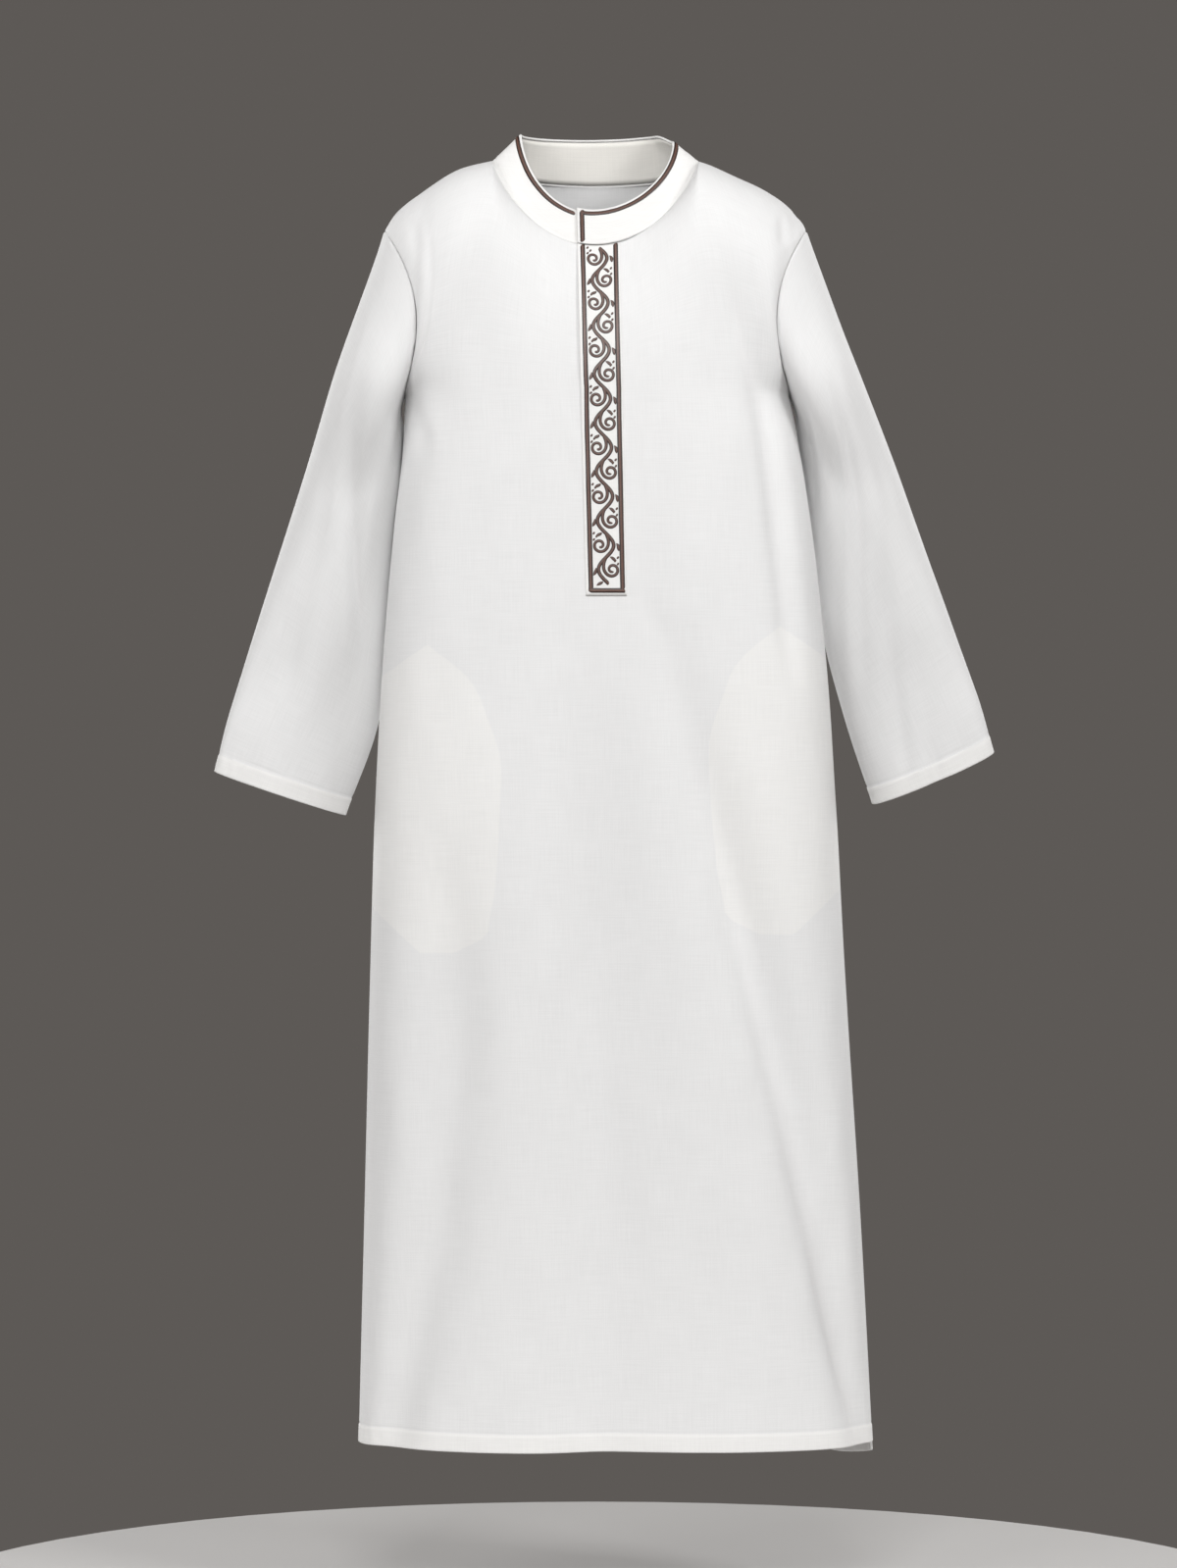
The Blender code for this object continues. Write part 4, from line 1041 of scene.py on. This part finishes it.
def one_stitch():
    """A stitch of half length 1 and radius 1 as three rings between two tips: its points and faces."""
    turns = np.arange(RING) * 2 * np.pi / RING
    rings = [
        np.stack([0 * turns + at, size * np.cos(turns), size * np.sin(turns)], -1)
        for at, size in ((-0.6, 0.8), (0.0, 1.0), (0.6, 0.8))
    ]
    points = np.concatenate([[(-1, 0, 0)], *rings, [(1, 0, 0)]])
    faces = grid_faces(1 + np.arange(3 * RING).reshape(3, RING), ring=True)[:, [0, 3, 2, 1]].tolist()
    for k in range(RING):
        after = (k + 1) % RING
        faces += [[0, 1 + k, 1 + after], [3 * RING + 1, 2 * RING + 1 + after, 2 * RING + 1 + k]]
    return points, faces


def stitches(name, lines, finish):
    """Short raised threads along lines, joined in one mesh."""
    shape, faces = one_stitch()
    parts = []
    for path, out, _ in lines:
        along = lengths_along(path[None], 1)[0]
        at = np.arange(STITCH_PITCH / 2, along[-1], STITCH_PITCH)
        n = read_path(at, along, out)
        ahead = unit(read_path(at + 0.0005, along, path) - read_path(at - 0.0005, along, path))
        axes = np.stack([ahead, np.cross(ahead, n), n], 1)
        half = (STITCH_LENGTH / 2, STITCH_WIDTH / 2, STITCH_HEIGHT)
        made = read_path(at, along, path)[:, None] + (shape * half) @ axes
        parts += [(points, faces, None) for points in made]
    return piece(joined(name, parts, finish), "white_cloth")


# ---- Placket


def placket_grid(body):
    """The strip's own grid on the front: rows from the foot up to the neck, columns from its free edge."""
    low = up_at(np.linspace(PLACKET_DROP, ARMPIT_DROP, 64))
    up = np.concatenate([low, up_at_rise(np.linspace(0, 0.999, 62)[1:])])
    drop = -panel(0.0, up, -1)[:, 2]
    t = (drop - drop[-1]) / (drop[0] - drop[-1])
    left = PLACKET_TOP_LEFT + (PLACKET_FOOT_LEFT - PLACKET_TOP_LEFT) * t
    right = PLACKET_TOP_RIGHT + (PLACKET_FOOT_RIGHT - PLACKET_TOP_RIGHT) * t
    q = np.concatenate([[0, 0.012, 0.03], np.linspace(0.06, 0.94, 19), [0.97, 0.988, 1]])
    points, n = on_front(body, left[:, None] + (right - left)[:, None] * q, up)
    return points, unit(n), q, drop


def make_placket(body, white, brown, thread):
    """The strip with its stitched borders, its scrolls and the seams along its edges."""
    base, n, q, drop = placket_grid(body)
    width = lengths_along(base, 1)
    from_edge = np.minimum(width, width[:, -1:] - width)
    from_foot = lengths_along(base, 0)
    stands_off = PLACKET_OPEN * ease((drop - 0.09) / 0.06) * ease((0.30 - drop) / 0.10)
    raised = LAY + CLOTH_WALL + stands_off[:, None] * (1 - ease(q / 0.45))
    raised = raised - dip_at(from_edge, *PLACKET_DIP) - dip_at(from_foot, *PLACKET_DIP)
    raised = raised + 0.00025 * soft_waves(width, from_foot, 71, 0.03, stretch=1.5)
    strip = base + n * raised[..., None]
    sheet = piece(cloth_sheet("placket_cloth", strip, white), "white_cloth", "placket_strip")

    down = lengths_along(strip[::-1, [len(q) // 2]], 0)[:, 0][::-1]
    wide = width[:, -1]

    def on_strip(x, v, stroke_width):
        """A stroke through points x from the strip's middle and v down from its top, in metres."""
        row = place_in(-down, -v)
        share = 0.5 + x / np.interp(row, np.arange(len(wide)), wide)
        return stroke_on(strip, n, row, place_in(q, share), stroke_width)

    v = np.linspace(0.001, down[0] - EDGING_AT, 240)
    half = np.interp(-v, -down, wide / 2)
    left, right = EDGING_AT - half, half - (EDGE_MARGIN + EDGING_WIDTH) / 2
    foot = np.linspace(left[-1] - EDGING_WIDTH / 2, right[-1] + EDGING_WIDTH / 2, 20)
    borders = [on_strip(x, at, EDGING_WIDTH) for x, at in ((left, v), (right, v), (foot, v[-1]))]
    piece(satin("placket_satin_edge", borders, brown), "brown_thread", "placket_edging")
    strokes = scroll_strokes(on_strip, v, (left + right) / 2, down[0])
    piece(satin("placket_scrolls", strokes, brown), "brown_thread")

    rows = np.arange(0, len(down) - 1, 1.0)
    seams = [stroke_on(strip, n, rows, place_in(q, share)) for share in SEAM_SHARES]
    stitches("placket_stitches", seams, thread)


def make_underlap(body, finish):
    """The underlay behind the slit: the front's own points, moved in."""
    low = up_at(np.linspace(PLACKET_DROP, ARMPIT_DROP, 30))
    up = np.concatenate([low, 1 + np.linspace(0, 0.985, 30)[1:]])
    points, n = on_front(body, np.linspace(-UNDERLAP_HALF, UNDERLAP_HALF, 9) + 0 * up[:, None], up)
    lap = cloth_sheet("placket_underlay", points - (CLOTH_WALL + LAY) * n, finish)
    piece(lap, "white_cloth", "placket_underlap")


# ---- Scrolls: a running vine with a curl, leaves and dots in each bend

BAY = 0.0262  # from one bend of the vine to the next
VINE_SWING, VINE_WIDTH = 0.0084, 0.0043
CURL_IN = 0.0064  # the curls' centres lie this far to the hollow side of each bend
CURL_TURNS = 1.5
CURL_WIDTH = 0.0039
FIELD_CLEAR = 0.004  # cloth left bare above and below the scrolls
LEAVES = (  # from the bend sideways and down, run, fall, width
    (0.0112, -0.0020, 0.0026, 0.0085, 0.0042),
    (0.0040, 0.0125, 0.0068, 0.0046, 0.0038),
)
DOTS = ((-0.0126, -0.0128), (-0.0096, -0.0094), (-0.0126, -0.0060))  # from the bend sideways and down
DOT_SIZE = 0.0029


def scroll_strokes(on_strip, v, centre, length):
    """Strokes of the scroll down the strip. The vine is x = swing sin(pi v / bay). A curl leaves it where it
    crosses the middle and winds in, r = 1.8 + 6.7 (1 - t)^0.9 + 6 exp(-14 t) in millimetres."""
    field_foot = length - EDGE_MARGIN - EDGING_WIDTH - FIELD_CLEAR
    down = np.linspace(FIELD_CLEAR, field_foot, 420)
    swing = VINE_SWING * np.sin(np.pi * (down - FIELD_CLEAR) / BAY)
    strokes = [on_strip(np.interp(down, v, centre) + swing, down, VINE_WIDTH)]
    t = np.linspace(0, 1, 90)
    radius = (1.8 + 6.7 * (1 - t) ** 0.9 + 6.0 * np.exp(-14 * t)) / 1000
    turn = math.atan2(-BAY / 2, CURL_IN) + t * 2 * np.pi * CURL_TURNS
    for bay in range(int((field_foot - FIELD_CLEAR) / BAY)):
        side = 1 if bay % 2 == 0 else -1
        bend = FIELD_CLEAR + (bay + 0.5) * BAY
        middle = np.interp(bend, v, centre)
        curl = middle + side * (radius * np.cos(turn) - CURL_IN)
        strokes.append(on_strip(curl, bend + radius * np.sin(turn), CURL_WIDTH * (1 - 0.25 * t)))
        for x, y, run, fall, width in LEAVES:
            strokes.append(leaf(on_strip, middle + side * x, bend + y, side * run, fall, width))
        for x, y in DOTS:
            across_dot = np.linspace(-DOT_SIZE / 2, DOT_SIZE / 2, 5)
            strokes.append(on_strip(middle + side * x, bend + y + across_dot, DOT_SIZE))
    return strokes


def leaf(on_strip, x, down, run, fall, width):
    """A pointed leaf from a place, widest before its middle."""
    t = np.linspace(0, 1, 14)
    bow = 0.12 * np.sin(np.pi * t) * fall
    widths = width * np.sin(np.pi * np.clip(t, 0.06, 0.94)) ** 0.8
    return on_strip(x + run * t + bow, down + fall * t, widths)


# ---- Pocket bags

BAG_OFF, BAG_HANG = 0.0009, 0.0018  # gap to the front at the side seam, and how much more further in


def make_bags(body, finish):
    """A bag hangs inside the front from each side seam: the front's own points, moved in."""
    drops = column(BAG, "drop")
    fine = np.concatenate([np.linspace(drops[0], drops[1], 5)[:-1], np.linspace(drops[1], drops[-1], 44)])
    near, far = read_table(BAG, "near", fine), read_table(BAG, "far", fine)
    shares = np.linspace(0, 1, 22)
    space = CLOTH_WALL + BAG_OFF + BAG_HANG * ease(3 * shares)
    for (side, lift), name in zip(BAG_LIFTS, ("right", "left")):
        edge = section("middle", fine - lift) + side * section("half_width", fine - lift)
        x = edge[:, None] - side * (near[:, None] + (far - near)[:, None] * shares)
        points, n = on_front(body, x, up_at(fine - lift))
        sheet = cloth_sheet(f"{name}_pocket_cloth", points - space[:, None] * n, finish, wall=BAG_WALL)
        piece(sheet, "white_cloth", f"pocket_bag_{name}")


# ---- Stitch lines


def make_stitches(body, sleeves, collar, finish):
    """The stitch lines of the hem, the cuffs and the neck seam."""
    hem, cuffs = [], []
    for face in (-1, 1):
        grid, out, (up, _) = body[face]
        cols = np.arange(1, grid.shape[1] - 1, 0.5)
        hem.append(stroke_on(grid, out, place_in(up, HEM_WIDTH / SKIRT), cols))
    stitches("hem_stitches", hem, finish)
    for side in (-1, 1):
        grid, out, above = sleeves[side]
        cols = np.arange(0, grid.shape[1] - 0.5, 0.5)
        grid, out = (np.concatenate([a, a[:, :1]], 1) for a in (grid, out))
        cuffs.append(stroke_on(grid, out, place_in(above[:, 0], CUFF_HEM), cols))
    stitches("cuff_stitches", cuffs, finish)
    grid, out, rows = collar
    cols = np.arange(14, grid.shape[1] - 1, 0.5)
    row = place_in(rows, NECK_STITCH / BAND_HEIGHT)
    stitches("neck_stitches", [stroke_on(grid, out, row, cols)], finish)


# ---- Finishes


def fill(tree, made, inputs):
    """Sets a node's inputs, or links those that are given another node's output."""
    for key, value in inputs.items():
        if isinstance(value, bpy.types.NodeSocket):
            tree.links.new(value, made.inputs[key])
        else:
            made.inputs[key].default_value = value


def node(tree, kind, inputs=None, **values):
    """A shader node with its properties set and its inputs set or linked, by socket name or number."""
    made = tree.nodes.new(kind)
    for key, value in values.items():
        setattr(made, key, value)
    fill(tree, made, inputs or {})
    return made


def math_node(tree, operation, *values):
    return node(tree, "ShaderNodeMath", dict(enumerate(values)), operation=operation).outputs[0]


def stepped(tree, value, low, high, to_low, to_high):
    """A soft step: to_low below low, to_high above high."""
    inputs = {"Value": value, "From Min": low, "From Max": high, "To Min": to_low, "To Max": to_high}
    return node(tree, "ShaderNodeMapRange", inputs, interpolation_type="SMOOTHSTEP", clamp=True).outputs[0]


def mixed(tree, factor, a, b, blend="MIX"):
    """Two colours mixed. The Mix node keeps its colour inputs at places 6 and 7 and their result at 2."""
    a, b = ((*c, 1) if isinstance(c, tuple) else c for c in (a, b))
    inputs = {0: factor, 6: a, 7: b}
    return node(tree, "ShaderNodeMix", inputs, data_type="RGBA", blend_type=blend).outputs[2]


def noise(tree, vector, scales, detail=2.0):
    mapping = node(tree, "ShaderNodeMapping", {"Vector": vector, "Scale": scales})
    inputs = {"Vector": mapping.outputs[0], "Scale": 1.0, "Detail": detail}
    return node(tree, "ShaderNodeTexNoise", inputs).outputs[0]


def bumped(tree, height, strength):
    """The normal of a surface with this relief, a tenth of a millimetre deep at a strength of 1."""
    inputs = {"Strength": strength, "Distance": 0.0001, "Height": height}
    return node(tree, "ShaderNodeBump", inputs).outputs[0]


def cloth_uv(tree):
    return node(tree, "ShaderNodeUVMap", uv_map="cloth").outputs[0]


def measure(tree, name):
    """A number that a piece's mesh carries at each point."""
    return node(tree, "ShaderNodeAttribute", attribute_name=name).outputs["Fac"]


def new_group(name, inputs, outputs):
    """A shader node group with named sockets: its tree, its input node and its output node."""
    tree = bpy.data.node_groups.new(name, "ShaderNodeTree")
    for socket, kind, value in inputs:
        made = tree.interface.new_socket(socket, in_out="INPUT", socket_type=kind)
        if value is not None:
            made.default_value = value
    for socket, kind in outputs:
        tree.interface.new_socket(socket, in_out="OUTPUT", socket_type=kind)
    return tree, tree.nodes.new("NodeGroupInput"), tree.nodes.new("NodeGroupOutput")


def weave_group():
    """Plain weave from a UV map in metres: the product of two sines, one along each set of threads, with
    thicker and thinner threads from noise drawn out along them, and a faint cloudy tone."""
    tree, given, result = new_group(
        "plain_weave",
        [("UV", "NodeSocketVector", None), ("Threads", "NodeSocketFloat", 1500.0)],
        [("Height", "NodeSocketFloat"), ("Shade", "NodeSocketFloat")],
    )
    uv = given.outputs["UV"]
    parts = node(tree, "ShaderNodeSeparateXYZ", {0: uv})
    turn = math_node(tree, "MULTIPLY", given.outputs["Threads"], math.pi)
    turns = [math_node(tree, "MULTIPLY", parts.outputs[axis], turn) for axis in (0, 1)]
    weave = math_node(tree, "MULTIPLY", *(math_node(tree, "SINE", value) for value in turns))
    threads = [noise(tree, uv, scales) for scales in ((900.0, 25.0, 1.0), (25.0, 900.0, 1.0))]
    streaks = math_node(tree, "SUBTRACT", math_node(tree, "ADD", *threads), 1.0)
    cloudy = math_node(tree, "SUBTRACT", noise(tree, uv, (22.0, 14.0, 1.0), 3.0), 0.5)
    tones = [math_node(tree, "MULTIPLY", tone, share) for tone, share in ((streaks, 0.10), (cloudy, 0.05))]
    shade = math_node(tree, "ADD", math_node(tree, "ADD", *tones), 1.0)
    fill(tree, result, {"Height": math_node(tree, "ADD", weave, streaks), "Shade": shade})
    return tree


def new_material(name, sockets):
    """A material with these of its shader's own sockets set: the material, its node tree and its shader."""
    made = bpy.data.materials.new(name)
    made.use_nodes = True
    shader = made.node_tree.nodes["Principled BSDF"]
    fill(made.node_tree, shader, sockets)
    return made, made.node_tree, shader


def cloth_material(name, weave, colour, layered=None, threads=1500.0, roughness=0.7, sheen=0.15, bag=False):
    """Woven cloth. Where layered is given, it takes that lighter colour over a second layer, at a hem or a
    pocket bag, and the greyer colour elsewhere: painted shade for the dark inside showing through a single
    layer.
    """
    sockets = {"Roughness": roughness, "Specular IOR Level": 0.3}
    sockets.update({"Sheen Weight": sheen, "Sheen Roughness": 0.4})
    made, tree, shader = new_material(name, sockets)
    pattern = node(tree, "ShaderNodeGroup", {"Threads": threads, "UV": cloth_uv(tree)}, node_tree=weave)
    # The mask marks where a second layer lies behind, so no painted see-through shade goes there: the hem
    # band and the pocket bags.
    if layered:
        mask = stepped(tree, measure(tree, "above_hem"), *HEM_SHOWS, 1.0, 0.0)
        if bag:
            backed = stepped(tree, measure(tree, "in_bag"), *BAG_SHOWS, 0.0, 0.85)
            mask = math_node(tree, "MAXIMUM", mask, backed)
        colour = mixed(tree, mask, colour, layered)
    shade = node(tree, "ShaderNodeCombineXYZ", {axis: pattern.outputs["Shade"] for axis in range(3)})
    colour = mixed(tree, 1.0, colour, shade.outputs[0], "MULTIPLY")
    fill(tree, shader, {"Base Color": colour, "Normal": bumped(tree, pattern.outputs["Height"], 0.3)})
    return made


def satin_material(name, dark, light):
    """Glossy thread: dark brown, with a painted highlight that makes it lighter in the middle of a stroke and
    uneven along it, so that it is darkest at both edges.
    """
    made, tree, shader = new_material(name, {"Roughness": 0.38, "Specular IOR Level": 0.6})
    uv = cloth_uv(tree)
    across = node(tree, "ShaderNodeSeparateXYZ", {0: uv}).outputs[0]
    from_middle = math_node(tree, "ABSOLUTE", math_node(tree, "SUBTRACT", across, 0.5))
    # Painted highlight: the lighter colour goes down the middle of each stroke, where the rounded thread
    # would catch the light, broken up by thread noise.
    middle = stepped(tree, from_middle, 0.04, 0.34, 1.0, 0.0)
    threads = noise(tree, uv, (0.6, 1430.0, 1.0), 1.0)
    painted_highlight = math_node(tree, "MULTIPLY", middle, math_node(tree, "ADD", threads, 0.35))
    fill(tree, shader, {"Base Color": mixed(tree, painted_highlight, dark, light), "Normal": bumped(tree, threads, 0.4)})
    return made


def thread_material(name, colour):
    """Sewing thread, with a fine twist on Object coordinates."""
    made, tree, shader = new_material(name, {"Roughness": 0.5})
    where = node(tree, "ShaderNodeTexCoord")
    twist = noise(tree, where.outputs["Object"], (3000.0, 3000.0, 3000.0), 1.0)
    fill(tree, shader, {"Base Color": mixed(tree, twist, tuple(0.9 * c for c in colour), colour)})
    return made


# ---- Stage

FLOOR_RADIUS, FLOOR_HEIGHT = 0.75, -1.56
LIGHTS = (  # name, place, size, power, aim
    ("key", (4.2, -4.2, 2.5), 2.0, 168, (0, 0, -0.2)),
    ("fill", (-3.6, -4.8, 1.5), 2.4, 96, (0, 0, -0.2)),
    ("front", (-0.2, -5.2, 2.0), 1.6, 126, (0, 0, -0.1)),
    ("low", (0.4, -5.4, -1.2), 1.4, 9, (0, 0, -1.3)),
    ("over", (0.3, -2.6, 3.4), 2.0, 27, (0, 0, -0.1)),
    ("left", (-5.4, -1.0, 0.2), 2.6, 60, (0, 0, -0.5)),
    ("right", (5.4, -1.0, 0.2), 2.6, 36, (0, 0, -0.5)),
    ("back_left", (-3.4, 4.4, 0.6), 2.6, 130, (0, 0, -0.6)),
    ("back_right", (3.4, 4.4, 0.6), 2.6, 110, (0, 0, -0.6)),
)
CAMERA_PLACE = (-0.0075, -6.0, -0.679)
VIEW_HEIGHT = 1.711  # metres seen from top to bottom at the robe's mid depth


def area_light(name, place, size, power, aim):
    light = bpy.data.lights.new(name, "AREA")
    light.size, light.energy = size, power
    x, y, z = np.array(aim) - np.array(place)
    placed(name, light, place, (math.atan2(math.hypot(x, y), -z), 0, math.atan2(-x, y)))


def make_stage():
    """The pale floor, the world and the lights."""
    angles = np.linspace(0, 2 * np.pi, 65)[:-1]
    rim = [FLOOR_RADIUS * np.cos(angles), FLOOR_RADIUS * np.sin(angles), FLOOR_HEIGHT + 0 * angles]
    pale, _, _ = new_material("pale_floor", {"Base Color": (0.55, 0.54, 0.53, 1), "Roughness": 0.9})
    make_mesh("floor", np.stack(rim, -1), [list(range(len(angles)))], pale)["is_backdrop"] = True
    world = bpy.data.worlds.new("studio")
    bpy.context.scene.world = world
    world.use_nodes = True
    world.node_tree.nodes["Background"].inputs["Color"].default_value = (0.1095, 0.1003, 0.0931, 1)
    for row in LIGHTS:
        area_light(*row)


def make_camera():
    camera = bpy.data.cameras.new("camera")
    camera.sensor_width = 36
    camera.lens = camera.sensor_width * -CAMERA_PLACE[1] / VIEW_HEIGHT
    bpy.context.scene.camera = placed("camera", camera, CAMERA_PLACE, (math.pi / 2, 0, 0))
    bpy.context.scene.view_settings.view_transform = "Standard"


# The single layer's colour is painted greyer than the layered one: painted shade for the dark inside of the
# robe showing through thin cloth.
SINGLE_PAINTED_SHADE, LAYERED = (0.80, 0.80, 0.80), (0.848, 0.843, 0.83)  # white cloth alone, and with cloth behind it
HEM_SHOWS = 0.0192, 0.0206  # the layered colour ends between these heights above a hem
BAG_SHOWS = -0.0010, 0.0014  # and begins between these distances inside a bag's outline
make_camera()
make_stage()
weave = weave_group()
front_cloth = cloth_material("white_front_cloth", weave, SINGLE_PAINTED_SHADE, LAYERED, bag=True)
plain_cloth = cloth_material("white_cloth", weave, SINGLE_PAINTED_SHADE, LAYERED)
# Collar band, placket, underlap and bags take the layered colour alone, without the painted see-through
# shade.
firm_cloth = cloth_material("white_firm_cloth", weave, LAYERED)
CREAM = 0.84, 0.82, 0.775
cream_cloth = cloth_material("cream_cloth", weave, CREAM, threads=1100.0, roughness=0.85, sheen=0.05)
# The lighter brown is the painted highlight of the satin thread.
brown_satin = satin_material("brown_satin_thread", (0.020, 0.009, 0.007), (0.155, 0.078, 0.058))
white_thread = thread_material("white_sewing_thread", (0.86, 0.86, 0.85))
body = make_body(front_cloth, plain_cloth)
sleeves = make_sleeves(plain_cloth)
collar_parts = make_collar(firm_cloth, cream_cloth, brown_satin)
make_placket(body, firm_cloth, brown_satin, white_thread)
make_underlap(body, firm_cloth)
make_bags(body, firm_cloth)
make_stitches(body, sleeves, collar_parts, white_thread)
[[list(corner) for corner in box] for box in (CAD_BOX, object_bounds())]
